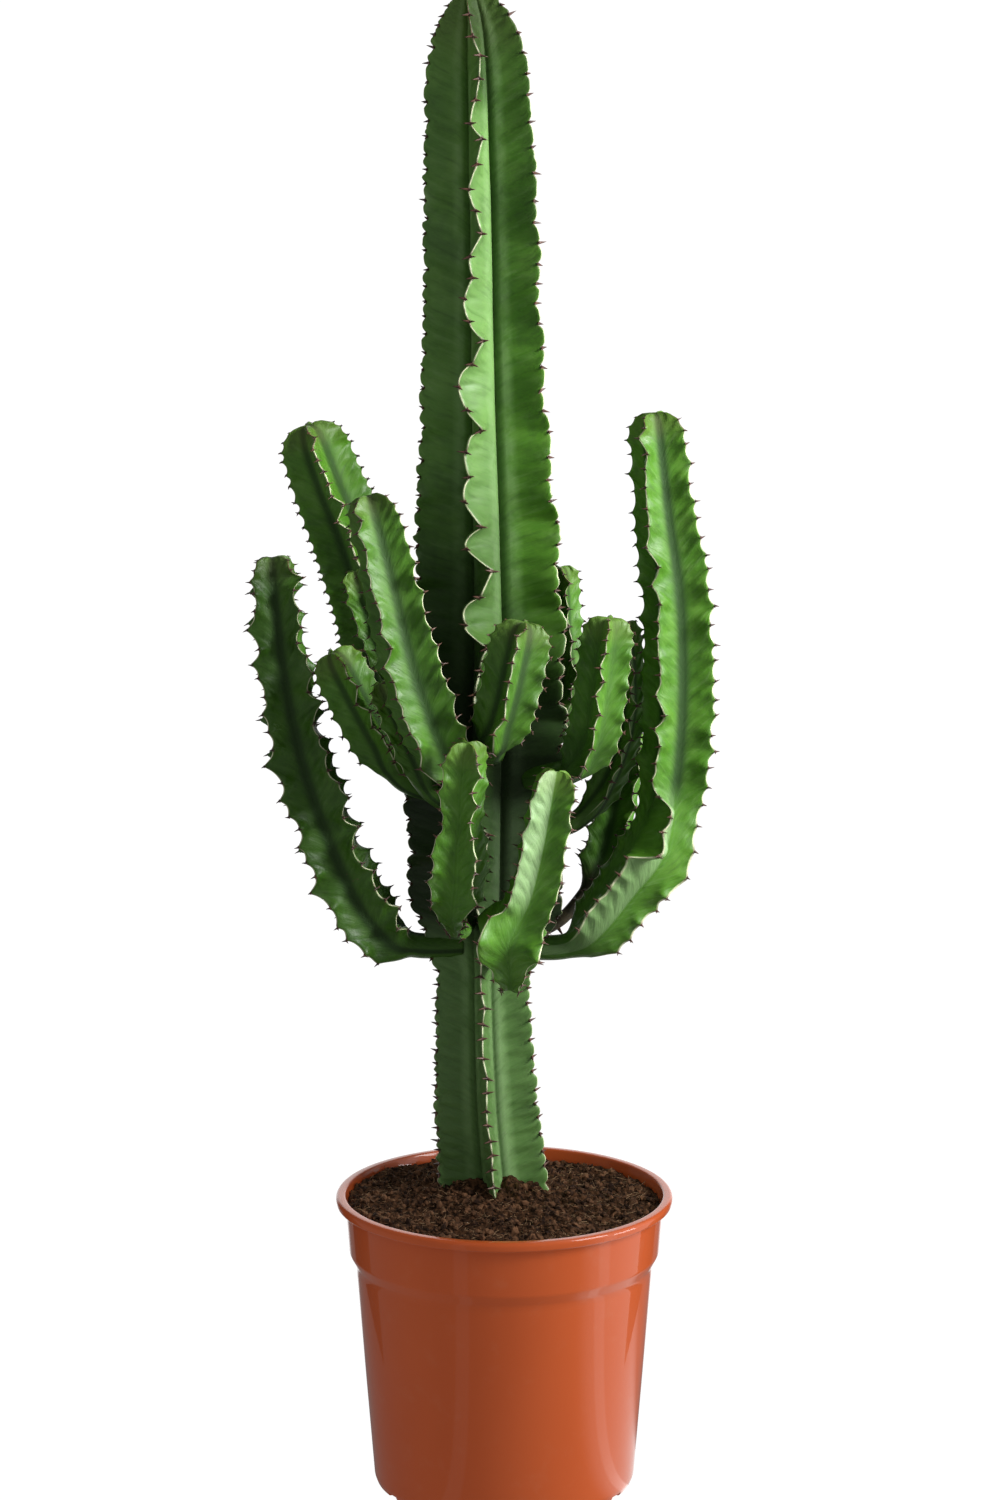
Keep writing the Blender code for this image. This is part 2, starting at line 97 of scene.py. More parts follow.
# Where the trunk's foot stands, and how far crumbs stay from its middle
FOOT_PLACE = (-8 * MM, 20 * MM)
FOOT_CLEARANCE = 26 * MM
SOIL_RINGS = 110
SOIL_SIDES = 360
CRUMBS = 2600
CRUMB_SIZES = (0.7, 0.9, 1.1, 1.5, 2.2, 3.2)
CRUMB_DENTS, CRUMB_STRETCH = (0.65, 1.25), (0.5, 1.1)
FIBRES = 1500
# Lengths, tilts, bends and thicknesses of the fibres
FIBRE_LENGTHS, FIBRE_TILTS, FIBRE_BENDS, FIBRE_THICKNESS = (1.5, 6.5), (-0.25, 0.5), (-0.8, 0.8), (0.12, 0.3)

# Trunk: places of its middle line in millimetres, and how far its ribs are turned at heights, in degrees
TRUNK_RIBS = 5
TRUNK_LINE = [
    (-7, 20, 140), (-7, 20, 175), (-8, 20, 206), (-9, 20, 220), (-13, 20, 275), (-15, 20, 350),
    (-14, 20, 385), (-12, 20, 430), (-11, 20, 500), (-9, 20, 600), (-10, 20, 680), (-12, 19, 780),
    (-14, 18, 915), (-18, 17, 1000), (-20, 16, 1034), (-23, 15, 1058),
]
TRUNK_TURNS = [(140, 4), (620, -8), (860, -12), (930, -12), (1010, -3), (1058, 0)]
TRUNK_RIBBED_FROM = 206

# Arms: the route runs from inside the trunk out to the tip, in millimetres. `neck` is the length and the
# radius of the plain round neck. Over the next `flare` millimetres four ribs grow out to the crest radii of
# `body`, given at shares of the route. `turn` is the first rib's angle, 0 to the front, 90 to the right, and
# `wave` how far the crests swing. `valley` says how much painted shade darkens the valleys, `shade` how much
# painted shade darkens the whole arm, and the key of painted light how much pale sheen is painted on lit
# faces.
ARMS = {
    "arm_left_low": dict(
        route=[(-30, 17, 390), (-62, 12, 391), (-83, 6, 400), (-104, -2, 429), (-124, -8, 478),
               (-142, -10, 535), (-154, -6, 600), (-161, 0, 672)],
        body=[(0, 28), (0.5, 28.5), (1, 23)],
        neck=(34, 9), turn=45, wave=6, pitch=11.5, dip=3.4, shade=0.42,
    ),
    "arm_left_back": dict(
        route=[(-30, 31, 508), (-62, 50, 532), (-82, 57, 568), (-92, 57, 621), (-107, 53, 672),
               (-124, 49, 716), (-138, 45, 758)],
        body=[(0, 29), (0.6, 30), (1, 25.5)],
        neck=(44, 10), turn=5, wave=3, pitch=9,
    ),
    "arm_left_front": dict(
        route=[(-26, -4, 516), (-36, -38, 528), (-44, -64, 547), (-54, -73, 575), (-64, -76, 606),
               (-74, -74, 650), (-84, -70, 690), (-93, -65, 724)],
        body=[(0, 27), (0.4, 27), (1, 22)],
        neck=(44, 10), turn=-29, wave=3, shade=0.22,
    ),
    "arm_left_bud": dict(
        route=[(-34, 20, 562), (-68, 16, 574), (-82, 9, 594), (-93, 6, 622), (-104, 5, 662)],
        body=[(0, 15), (1, 14)],
        neck=(42, 7), turn=40, wave=1,
    ),
    "arm_left_mid": dict(
        route=[(-36, 15, 500), (-70, -1, 514), (-89, -12, 546), (-106, -19, 580), (-120, -23, 609)],
        body=[(0, 22), (1, 21)],
        neck=(46, 9), turn=15, wave=2,
    ),
    "arm_left_small": dict(
        route=[(-28, -2, 490), (-52, -19, 510), (-64, -35, 538), (-76, -42, 567), (-86, -44, 592)],
        body=[(0, 15), (1, 14)],
        neck=(40, 7.5), turn=40, wave=1,
    ),
    "arm_front_left": dict(
        route=[(-26, -2, 410), (-30, -40, 414), (-33, -62, 421), (-34, -76, 436), (-31, -86, 458),
               (-30, -92, 486), (-28, -97, 518), (-25, -104, 562)],
        body=[(0, 7), (0.29, 7), (0.5, 24), (0.64, 23), (0.72, 16), (0.8, 19), (1, 18)],
        neck=(36, 6), turn=28, wave=2.5, valley=[(0, 0.1)],
    ),
    "arm_front_right": dict(
        route=[(-9, 4, 384), (0, -50, 386), (4, -79, 386), (4, -94, 402), (5, -99, 423), (17, -102, 449),
               (24, -102, 475), (29, -101, 500), (33, -99, 524), (36, -98, 541)],
        body=[(0, 8), (0.36, 9), (0.43, 17), (0.51, 36), (0.59, 23), (0.735, 22.5), (1, 20)],
        neck=(52, 6), flare=45, turn=-45, wave=3,
        valley=[(0, 0.2)], painted_light=[(0.56, 0), (0.68, 0.85)],
    ),
    "arm_front_high": dict(
        route=[(-9, -12, 536), (-9, -48, 546), (-4, -70, 562), (3, -78, 588), (9, -80, 616),
               (14, -80, 640)],
        body=[(0, 22), (1, 23)],
        neck=(44, 10), turn=-6, wave=2, shade=0.22,
    ),
    "arm_right_mid": dict(
        route=[(18, 8, 512), (46, -17, 523), (59, -36, 545), (65, -44, 577), (69, -48, 612),
               (72, -50, 638)],
        body=[(0, 21), (1, 20)],
        neck=(38, 9), turn=-4, wave=1.5, valley=[(0, 0.3)],
    ),
    "arm_right_behind": dict(
        route=[(18, 22, 470), (50, 24, 478), (72, 28, 504), (86, 29, 545), (87, 29, 585), (83, 27, 622)],
        body=[(0, 15), (1, 14)],
        neck=(38, 7), turn=10, wave=1,
    ),
    "arm_right_tall": dict(
        route=[(10, 16, 389), (38, 10, 390), (54, 7, 396), (71, 3, 413), (90, 0, 439), (109, -2, 468),
               (117, 0, 510), (121, 0, 570), (119, 0, 640), (111, 0, 700), (103, 0, 772)],
        body=[(0, 22), (0.2, 26), (0.28, 31), (0.36, 25), (0.44, 30), (0.65, 29.5), (1, 23)],
        fill=[(0.1, 0.8), (0.33, 0.8), (0.42, 0)],
        lean=[(0.2, -2), (0.27, -2), (0.32, 14), (0.37, 13), (0.41, 0)],
        neck=(34, 9), turn=-30, wave=3, pitch=12.5,
        valley=[(0, 0), (0.36, 0), (0.42, 1)], painted_light=[(0, 0.5), (0.36, 0.6), (0.42, 0)],
    ),
    "arm_right_stalked": dict(
        route=[(6, 38, 388), (34, 46, 397), (50, 52, 410), (65, 57, 432), (76, 60, 463), (83, 60, 502),
               (87, 58, 540)],
        body=[(0, 24), (1, 20)],
        neck=(64, 4.5), turn=35, wave=2, woody=True,
    ),
    "arm_back_right": dict(
        route=[(10, 44, 522), (35, 68, 534), (44, 84, 560), (41, 88, 600), (39, 87, 652)],
        body=[(0, 20), (1, 17)],
        neck=(42, 9), turn=20, wave=1.5,
    ),
    "arm_back_tall": dict(
        route=[(-18, 48, 522), (-22, 82, 534), (-28, 98, 560), (-30, 101, 625), (-28, 99, 710),
               (-25, 96, 790)],
        body=[(0, 26), (1, 22)],
        neck=(40, 10), turn=30, wave=2,
    ),
    "arm_back_left": dict(
        route=[(-24, 44, 374), (-36, 74, 384), (-44, 94, 410), (-46, 98, 450), (-44, 97, 494)],
        body=[(0, 20), (1, 17)],
        neck=(42, 9), turn=10, wave=1.5,
    ),
    "arm_back_low": dict(
        route=[(0, 46, 408), (8, 74, 418), (18, 92, 440), (22, 96, 480), (22, 95, 524)],
        body=[(0, 20), (1, 17)],
        neck=(38, 9), turn=40, wave=1.5,
    ),
}
ARM_RIBS = 4
FLARE = 30
TIP_DOME = 0.95
TIP_END = 0.985
TIP_POWERS = (2.5, 0.45)
TIP_SINK = 2.6
TIP_SINK_REACH = 5

# Half of a rib's section from valley to crest, as (outward, sideways) shares of the crest radius
TRUNK_RIB = [
    (0.202, 0.147), (0.255, 0.164), (0.315, 0.166), (0.375, 0.150), (0.435, 0.122), (0.530, 0.096),
    (0.650, 0.075), (0.780, 0.057), (0.880, 0.044), (0.940, 0.034), (0.975, 0.026), (0.994, 0.014),
    (1.000, 0.000),
]
ARM_RIB = [
    (0.262, 0.262), (0.302, 0.236), (0.346, 0.208), (0.402, 0.178), (0.480, 0.148), (0.580, 0.121),
    (0.690, 0.098), (0.800, 0.078), (0.890, 0.060), (0.950, 0.044), (0.985, 0.024), (1.000, 0.000),
]
# Where across a rib a painted highlight runs as a pale line, below 0 for none, and how wide it is
TRUNK_SHOULDER_HIGHLIGHT = 0.29
ARM_SHOULDER_HIGHLIGHT = -1
SHOULDER_HIGHLIGHT_WIDTH = 0.05
# The share of the crest radius from which on waves and teeth move a rib
BLADE_FROM = 0.38

# Teeth and waves along the ribs
FINE_STEP = 1.3
TRUNK_PITCH = [(206, 11.5), (370, 12.5), (430, 15.5), (1000, 15.5), (1058, 9)]
TRUNK_PITCH_SHARES = (1.0, 1.0, 1.0, 0.75, 0.75)
ARM_PITCH = 11.5
WOODY_TEETH_FROM = 20
YOUNG_PITCH = 5
YOUNG_REACH = 26
PITCH_CHANGE = (0.82, 1.18)
NOTCH = 3.4
NOTCH_WIDTH = 2.5
JAG = 3.4
JAG_TEETH = (1.9, 1.9, 2.3, 2.1, 1.4)
CORNER_DIP = 2.8
LOBE = 0.5
LOBE_STEP = 0.32
LOBE_LEFT = 0.30
LOBE_CHANGE = (-0.2, 1.3)
LOBE_SKEW = 0.62
LOBE_SIZES = (0.3, 1.3)
JAG_SIZES = (0.2, 1.0)
# The lobes of the front crest grow in between these heights
FRONT_LOBES_FROM = (380, 460)
ZIGZAG = 2.6
RIPPLE = 0.7
RIPPLE_DROP = 16
WAVE_TEETH = 4.3
ARM_WAVE_TEETH = 2.7
# The second, finer swing of the crests, as shares of the first one's size, length and start
FINE_SWING = (0.4, 0.43, 1.7)
TRUNK_WAVE = [(206, 0.8), (400, 1.5), (450, 5), (700, 5), (900, 4), (1000, 2.5), (1058, 0)]
# The teeth of the trunk's front crest that the picture shows, as heights and sideways places
FRONT_TEETH = [
    (612, 5), (628, -10), (647, 0), (666, 9), (681, -9), (696, 3), (714, -9), (730, -5), (748, -7),
    (762, 6), (776, -6), (792, -11), (807, -1), (823, 7), (836, -3), (851, -6), (866, 0), (880, -2),
    (896, 7), (911, 3), (925, -2), (942, 4), (959, 7), (970, -2), (986, 1), (1000, 3), (1015, 4),
    (1028, -1), (1042, -3),
]

# Spines
SPINE_LENGTH = 6.2
SPINE_RADIUS = 1.2
SPINE_SIDES = 5
# Size of the spines at a tip, how far from it they are full size, and what they gain on a woody stalk
YOUNG_SPINE = 0.6
SPINES_GROWN_FROM = 22
THORN_GROWTH = 0.7
# How long the spines are, how far they point outward and along, each by chance
SPINE_CHANGE, SPINE_OUTWARD, SPINE_ALONG = (0.7, 1.2), (0.25, 0.7), (-0.4, 0.3)
# How far behind a crest the line lies that it leans about
CREST_LEVER = 26
ARM_SPINE_SHARE = 0.66
SPINE_RINGS = [(0.0, 1.0), (0.3, 0.7), (0.65, 0.4)]
SHIELD_LENGTH = 4.4
SHIELD_WIDTH = 2.3
SHIELD_HEIGHT = 1.3
SHIELD_SIDES = 8
SPINES_FROM = 215
THORNY_RIB = 1

# How much painted shade darkens the valleys of the arms, how much painted shade darkens their skin near the
# root, fading out between these distances, and how far down from the tip it looks young
VALLEY_SHADE = 0.85
ARM_ROOT_SHADE = 0.35
ARM_ROOT_REACH = (40, 120)
YOUNG_SKIN = 38
# Levels between valley and crest, over which each patch of painted light, a pale sheen, starts or ends
PAINTED_LIGHT_LEVELS, ROOT_PAINTED_LIGHT_LEVELS, LEFT_PAINTED_LIGHT_LEVELS = (0.0, 0.12), (0.15, 0.40), (0.1, 0.4)
# What the trunk has at heights: crest radius, how far the ribs have grown out, young and old skin, painted
# shade among the arms, painted light as a pale sheen on the right face of the front rib, on the left faces
# and at the root of the right wing, and how much painted shade darkens its valleys
TRUNK_MARKS = {
    "radii": [
        (140, 24), (190, 28), (206, 43), (220, 42), (275, 40), (330, 37), (366, 35.5), (390, 44), (425, 58),
        (500, 61), (590, 58), (680, 54), (780, 47.5), (850, 44), (915, 43), (985, 39), (1006, 37), (1024, 33),
        (1038, 27), (1048, 20), (1055, 12), (1058, 4),
    ],
    "ribbed": [(190, 0), (206, 1)],
    "youth": [(960, 0), (1058, 1)],
    "age": [(330, 1), (620, 0)],
    "dim": [(372, 0), (420, 0.84), (560, 0.84), (680, 0)],
    "painted_light": [(560, 0), (700, 0.3), (970, 0.3), (1000, 0)],
    "left_painted_light": [(620, 0), (760, 0.13)],
    "root_painted_light": [(200, 0.6), (380, 0.6), (420, 0.1), (560, 0.15), (900, 0.1), (980, 0)],
    "deep": [(330, 0), (620, 0.35)],
}
# How much painted shade darkens these faces at heights: the right face of the front rib, the right wing's
# left face, and the faces to the left, among the arms. A rib's left half goes by its number, its right half
# by that and 0.5.
STRIP_SHADE = [
    (390, 0.3), (560, 0.56), (670, 0.50), (740, 0.2), (800, 0.05), (958, 0.05), (1000, 0.72), (1058, 0.78),
]
WING_SHADE = [(640, 0), (760, 0.12), (940, 0.46), (1058, 0.52)]
LEFT_SHADE = [(420, 0), (480, 0.84), (560, 0.84), (640, 0.62), (700, 0.25), (740, 0)]
HALF_SHADES = {0.5: STRIP_SHADE, 1: WING_SHADE, 0: LEFT_SHADE, 4: LEFT_SHADE, 4.5: LEFT_SHADE}

# Light
ROOM_LIGHT = 0.40
ROOM_SHINE = 1.15
FRONT_SHINE = 0.12
# What shines in reflections: directions in degrees, 0 to the front, 90 to the right, half widths, strengths
SHINES = [(72, 6, 0.7), (88, 38, 0.8), (-29, 6, 0.2), (180, 33, ROOM_SHINE)]
POT_COAT = 0.85
WHITE = (1.0, 1.0, 1.0)
FLOOR_SHADE = 0.12
FLOOR_GLOW = 0.45
KEY_SPREAD = 80
# Lamps: place, the point they face, width and height, and power
LAMPS = {
    "key": ((1.51, -0.74, 1.35), (0.0, 0.0, 0.70), (0.7, 0.8), 17),
    "side": ((1.5, -0.13, 0.25), (0.0, 0.0, 0.2), (0.5, 0.5), 9),
    "above": ((1.0, -0.5, 0.9), (0.0, 0.0, 0.2), (0.5, 0.5), 10),
    "back": ((1.2, -0.9, 1.2), (-0.12, 0.05, 0.7), (0.4, 0.4), 40),
}
# Black boards beside the pot: their two upright edges on the right, and the heights of their corners
FLAG_ENDS = [(0.273, 0.048), (0.217, 0.141)]
FLAG_LEVELS = [0.004, 0.095, 0.300]

# Streaks in the skin: how far they drop from crest to valley, in metres, how fine they are both ways, and how
# far apart those of two ribs and of a rib's two halves lie in the noise
STREAK_SLOPE = 0.026
STREAK_ACROSS = 2.1
STREAK_ALONG = 234.0
STREAK_RIBS, STREAK_HALVES = 7.3, 6.2
# Colours of the skin
GREEN_DARK, GREEN_LIGHT, GREEN_FINE = (0.045, 0.146, 0.006), (0.062, 0.186, 0.009), (0.084, 0.212, 0.012)
BLOTCH_DARK, BLOTCH_PALE = (0.026, 0.088, 0.005), (0.110, 0.250, 0.030)
# In the next line the middle colour is painted light, a pale sheen; the other two are the skin's own
OLD_GREEN, PAINTED_LIGHT_GREEN, WORN_WAX = (0.098, 0.190, 0.056), (0.240, 0.370, 0.170), (0.330, 0.450, 0.240)
STREAK_PALE, STREAK_DARK = (0.150, 0.280, 0.080), (0.028, 0.080, 0.008)
# Colours of painted highlights: a pale line on the rib's shoulder and another beside the bottom of the valley
SHOULDER_HIGHLIGHT_PALE, GROOVE_HIGHLIGHT = (0.230, 0.380, 0.150), (0.200, 0.350, 0.150)
# Colours of painted shade: in the valleys and on darkened faces
VALLEY_PAINTED_SHADE, PAINTED_SHADE_DARK = (0.014, 0.050, 0.004), (0.004, 0.010, 0.002)
SCAR_BROWN, TIP_BROWN, TOOTH_BROWN = (0.160, 0.110, 0.050), (0.150, 0.130, 0.040), (0.085, 0.036, 0.020)
CREST_PALE, CREST_YOUNG = (0.680, 0.700, 0.460), (0.130, 0.060, 0.032)
BARK_DARK, BARK_PALE = (0.022, 0.020, 0.010), (0.090, 0.070, 0.036)
SPINE_DARK, SPINE_BROWN, SPINE_TIP = (0.028, 0.010, 0.007), (0.105, 0.045, 0.028), (0.075, 0.034, 0.022)
# Colours of the pot and the soil
POT_DARK, POT_LIGHT, POT_DUST = (0.510, 0.088, 0.020), (0.550, 0.100, 0.025), (0.560, 0.240, 0.140)
SOIL_DARK, SOIL_LIGHT, SOIL_BITS = (0.012, 0.006, 0.003), (0.120, 0.055, 0.026), (0.200, 0.120, 0.070)
CRUMB_DARK, CRUMB_LIGHT = (0.020, 0.009, 0.005), (0.190, 0.092, 0.046)
FIBRE_DARK, FIBRE_LIGHT = (0.130, 0.070, 0.038), (0.420, 0.270, 0.150)

# Camera, placed so that its picture is the photograph's
CAMERA_PLACE = (-0.003, -3.026, 1.141)
CAMERA_PITCH = 11.34
CAMERA_LENS = 106.1


def smooth_share(value, start, end):
    share = np.clip((value - start) / (end - start), 0.0, 1.0)
    return share * share * (3 - 2 * share)


def read_off(pairs, values):
    """Smooth values between (place, value) pairs."""
    result = np.full(len(values), float(pairs[0][1]))
    for (a, va), (b, vb) in zip(pairs, pairs[1:]):
        result += (vb - va) * smooth_share(values, a, b)
    return result


def add_object(name, data):
    thing = bpy.data.objects.new(name, data)
    bpy.context.scene.collection.objects.link(thing)
    return thing


def mesh_of(form, name):
    mesh = bpy.data.meshes.new(name)
    form.to_mesh(mesh)
    form.free()
    return mesh


def new_piece(name, places, faces):
    """A piece of the part with a smooth mesh."""
    mesh = bpy.data.meshes.new(name)
    mesh.from_pydata(np.asarray(places).tolist(), [], faces)
    mesh.validate()
    mesh.shade_smooth()
    thing = add_object(name, mesh)
    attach(thing, "root")
    return thing


def ring_faces(rings, sides, flipped=False):
    """Four-sided faces between rings of points, each ring joined up with the next one."""
    index = np.arange(rings * sides).reshape(rings, sides)
    low, high = index[:-1], index[1:]
    quads = [low, np.roll(low, -1, axis=1), np.roll(high, -1, axis=1), high]
    if flipped:
        quads = quads[:1] + quads[:0:-1]
    return np.stack(quads, axis=2).reshape(-1, 4).tolist(), index


def add_values(mesh, name, values):
    """Stores one number per vertex for the material to read."""
    layer = mesh.attributes.new(name, "FLOAT", "POINT")
    layer.data.foreach_set("value", np.asarray(values, dtype=np.float32).ravel())


def fine_route(points, step):
    """The smooth curve through the points: places about a step apart and their distances from the start."""
    points = np.array(points, dtype=float)
    last = len(points) - 1
    share = np.linspace(0, last, 80 * last + 1)
    k = np.minimum(share.astype(int), last - 1)
    t = (share - k)[:, None]
    a, b = points[np.maximum(k - 1, 0)], points[k]
    c, d = points[k + 1], points[np.minimum(k + 2, last)]
    fine = (2 * b + (c - a) * t + (2 * a - 5 * b + 4 * c - d) * t ** 2 + (3 * b - a - 3 * c + d) * t ** 3) / 2
    far = np.concatenate([[0.0], np.cumsum(np.linalg.norm(np.diff(fine, axis=0), axis=1))])
    distances = np.linspace(0, far[-1], int(far[-1] / step) + 1)
    places = np.stack([np.interp(distances, far, fine[:, axis]) for axis in range(3)], axis=1)
    return places, distances


def carried_frames(places):
    """Unit vectors along, to the front and to the right at each place, carried from the tip without twist."""
    along = np.gradient(places, axis=0)
    along /= np.linalg.norm(along, axis=1)[:, None]
    front = np.zeros_like(places)
    carried = np.array([0.0, -1.0, 0.0])
    for i in range(len(places) - 1, -1, -1):
        carried = carried - along[i] * np.dot(carried, along[i])
        carried /= np.linalg.norm(carried)
        front[i] = carried
    return along, front, np.cross(along, front)


class Stem:
    """One ribbed stem: rings of points along its route, with teeth, waves and spines. All in millimetres."""

    def __init__(self, name, ribs, section, shoulder_highlight, seed):
        self.name = name
        self.ribs = ribs
        self.section = np.array(section)
        self.shoulder_highlight = shoulder_highlight
        self.chance = random.Random(seed)
        self.corner_dip = CORNER_DIP
        self.spine_share = 1.0
        self.pitch_shares = (1.0,) * ribs
        self.sunny_valley = 1.0
        self.half_painted_shade = {}

    def lay(self, route):
        self.places, self.distances = fine_route(route, FINE_STEP)
        self.along, self.front, self.right = carried_frames(self.places)
        self.length = self.distances[-1]
        self.fill = self.age = self.woody = self.left_painted_light = self.root_painted_light = np.zeros(len(self.places))

    def set_teeth(self, pitch, first, measured=()):
        """Places each rib's teeth from the tip down, closer together on young growth."""
        self.teeth = []
        for k in range(self.ribs):
            found = []
            s = self.length - 1.5 - self.chance.uniform(0, YOUNG_PITCH)
            if k == 0 and measured:
                heights = self.places[:, 2]
                found = [float(np.interp(height, heights, self.distances)) for height, _ in measured]
                s = min(found) - pitch(min(found))
            while s > first:
                found.append(s)
                young = max(0.0, 1 - (self.length - s) / YOUNG_REACH)
                step = pitch(s) * self.pitch_shares[k]
                s -= (step * (1 - young) + YOUNG_PITCH * young) * self.chance.uniform(*PITCH_CHANGE)
            self.teeth.append(np.array(sorted(found)))

    def tooth_count(self, k, distances):
        """How many teeth of rib k lie below each distance, running on smoothly between them."""
        teeth = self.teeth[k]
        low = 2 * teeth[0] - teeth[1]
        high = 2 * teeth[-1] - teeth[-2]
        return np.interp(distances, [low, *teeth, high], np.arange(len(teeth) + 2))

    def nearness(self, k):
        """How near each ring is to a tooth of rib k, up to 1 at the tooth."""
        near = abs(self.distances[:, None] - self.teeth[k][None, :]).min(axis=1)
        return np.exp(-((near / NOTCH_WIDTH) ** 2))

    def set_waves(self, wave, corners, measured=()):
        """How far each rib's crest leans sideways at each ring, and how it dips between or at the teeth."""
        self.leans = []
        self.dips = []
        scale = self.radii / self.radii.max()
        for k in range(self.ribs):
            teeth = self.teeth[k]
            count = self.tooth_count(k, self.distances)
            lobe = abs(np.sin(np.pi * count))
            phase = self.chance.uniform(0, 2 * np.pi)
            number = np.arange(len(teeth))
            period = ARM_WAVE_TEETH if corners else WAVE_TEETH
            swing = np.sin(2 * np.pi * number / period + phase)
            share, finer, later = FINE_SWING
            swing += share * np.sin(2 * np.pi * number / (period * finer) + phase * later)
            lean = np.interp(teeth, self.distances, wave) * swing
            if corners:
                lean += ZIGZAG * (-1.0) ** number * np.array([self.chance.uniform(0.4, 1) for _ in teeth])
                bulge = 0.9 * np.sin(2 * np.pi * count / period + phase)
            else:
                bulge = LOBE * np.interp(self.distances, teeth, np.clip(lean / 4, -1, 1))
            if k == 0 and measured:
                lean[-len(measured):] = [sideways for _, sideways in measured]
                bulge = -self.front_lobes(lean, teeth) * smooth_share(self.places[:, 2], *FRONT_LOBES_FROM)
                lobe = np.sin(np.pi * (np.ceil(count) - count) ** LOBE_SKEW)
            sizes = np.interp(self.distances, teeth, [self.chance.uniform(*LOBE_SIZES) for _ in teeth])
            lean = np.interp(self.distances, teeth, lean) + bulge * lobe * sizes
            lean = np.convolve(np.pad(lean, 1, mode="edge"), (0.25, 0.5, 0.25), mode="valid")
            if not (k == 0 and measured):
                lean = lean * scale
            self.leans.append(lean * self.ribbed)
            if corners:
                dip = self.corner_dip * lobe ** 0.8
            else:
                number = count / JAG_TEETH[k] + phase
                jags = number % 1.0
                size = np.array([self.chance.uniform(*JAG_SIZES) for _ in self.distances])[number.astype(int)]
                dip = NOTCH * self.nearness(k) + JAG * size * (1 - jags) * smooth_share(jags, 0.0, 0.12)
            self.dips.append(dip * self.ribbed * scale)

    def front_lobes(self, lean, teeth):
        """How far each lobe of the front crest bulges: more where the next tooth down stands further left."""
        step = np.diff(lean)
        left = np.clip(-np.minimum(lean[:-1], lean[1:]), 0, 8)
        wide = LOBE_STEP * np.clip(step, 0, 12) * (left > 0) + LOBE_LEFT * left
        wide *= [self.chance.uniform(*LOBE_CHANGE) for _ in step]
        return wide[np.clip(np.searchsorted(teeth, self.distances) - 1, 0, len(wide) - 1)]

    def rib_frame(self, k):
        angle = self.turns + 2 * np.pi * k / self.ribs
        out = self.front * np.cos(angle)[:, None] + self.right * np.sin(angle)[:, None]
        side = self.right * np.cos(angle)[:, None] - self.front * np.sin(angle)[:, None]
        return out, side

    def rib_columns(self, k):
        """Rib k's columns of points from its left valley over its crest to just before its right valley."""
        out, side = self.rib_frame(k)
        count = len(self.section)
        columns = []
        order = [(n, -1) for n in range(count)] + [(n, 1) for n in range(count - 2, 0, -1)]
        for n, way in order:
            far, wide = self.section[n]
            blade = smooth_share(far, BLADE_FROM, 1.0)
            teeth = self.tooth_count(k, self.distances + RIPPLE_DROP * (1 - far))
            ripple = np.sin(2 * np.pi * teeth) + 0.5 * np.sin(4 * np.pi * teeth + 1.3)
            ripple *= RIPPLE * 4 * blade * (1 - blade)
            shift = self.leans[k] * blade ** 1.2 + ripple * self.ribbed
            ribbed, level = self.ribbed, n / (count - 1)
            angle = np.pi / self.ribs * (1 - level)
            filled_far = far + self.fill * ((1 + level) / 2 - far)
            filled_wide = wide + self.fill * ((1 - level) / 2 - wide)
            outward = self.radii * (filled_far * ribbed + math.cos(angle) * (1 - ribbed))
            outward = outward - self.dips[k] * blade ** 2
            sideways = self.radii * (filled_wide * ribbed + math.sin(angle) * (1 - ribbed)) * way + shift
            reach = np.hypot(outward, sideways)
            sunk = TIP_SINK * np.exp(-((reach / TIP_SINK_REACH) ** 2))
            sunk = self.along * (sunk * smooth_share(self.distances, self.length - 8, self.length))[:, None]
            columns.append(self.places + out * outward[:, None] + side * sideways[:, None] - sunk)
        return columns, [n / (count - 1) for n, _ in order]

    def build(self):
        """The stem's mesh with the numbers that its material reads."""
        columns, levels, nearness, halves = [], [], [], []
        for k in range(self.ribs):
            rib_columns, rib_levels = self.rib_columns(k)
            columns += rib_columns
            levels += rib_levels
            nearness += [self.nearness(k) * (self.ribbed > 0.5)] * len(rib_columns)
            left = len(rib_columns) // 2
            halves += [k] * left + [k + 0.5] * (len(rib_columns) - left)
        halves, levels = np.array(halves), np.array(levels)
        rings, count = len(self.places), len(columns)
        quads, index = ring_faces(rings, count)
        faces = quads + [index[0][::-1].tolist(), index[-1].tolist()]
        places = np.stack(columns, axis=1) * MM
        thing = new_piece(self.name + "_stem", places.reshape(-1, 3), faces)
        mesh = thing.data
        # A painted highlight along the rib's shoulder
        line = np.exp(-(((levels - self.shoulder_highlight) / SHOULDER_HIGHLIGHT_WIDTH) ** 2))
        numbers = np.floor(halves) * STREAK_RIBS + halves % 1 * STREAK_HALVES
        for name, row in (("rib", levels), ("shoulder_highlight", line), ("number", numbers)):
            add_values(mesh, name, np.tile(row, (rings, 1)))
        for name in ("youth", "ribbed", "age", "woody"):
            add_values(mesh, name, np.repeat(getattr(self, name), count))
        add_values(mesh, "along", np.repeat(self.distances * MM, count))
        add_values(mesh, "tooth", np.stack(nearness, axis=1))
        # Painted light: a pale sheen on the lit right face of the front rib, paler colour on the shaded left
        # faces and at the root of the right wing
        sunny = (halves == 0.5) * smooth_share(levels, *PAINTED_LIGHT_LEVELS)
        foot = (halves == 1) * (1 - smooth_share(levels, *ROOT_PAINTED_LIGHT_LEVELS))
        left = np.isin(halves, (0, 4, 4.5)) * smooth_share(levels, *LEFT_PAINTED_LIGHT_LEVELS)
        painted_light = self.painted_light[:, None] * sunny[None, :] + self.root_painted_light[:, None] * foot[None, :]
        add_values(mesh, "painted_light", painted_light + self.left_painted_light[:, None] * left[None, :])
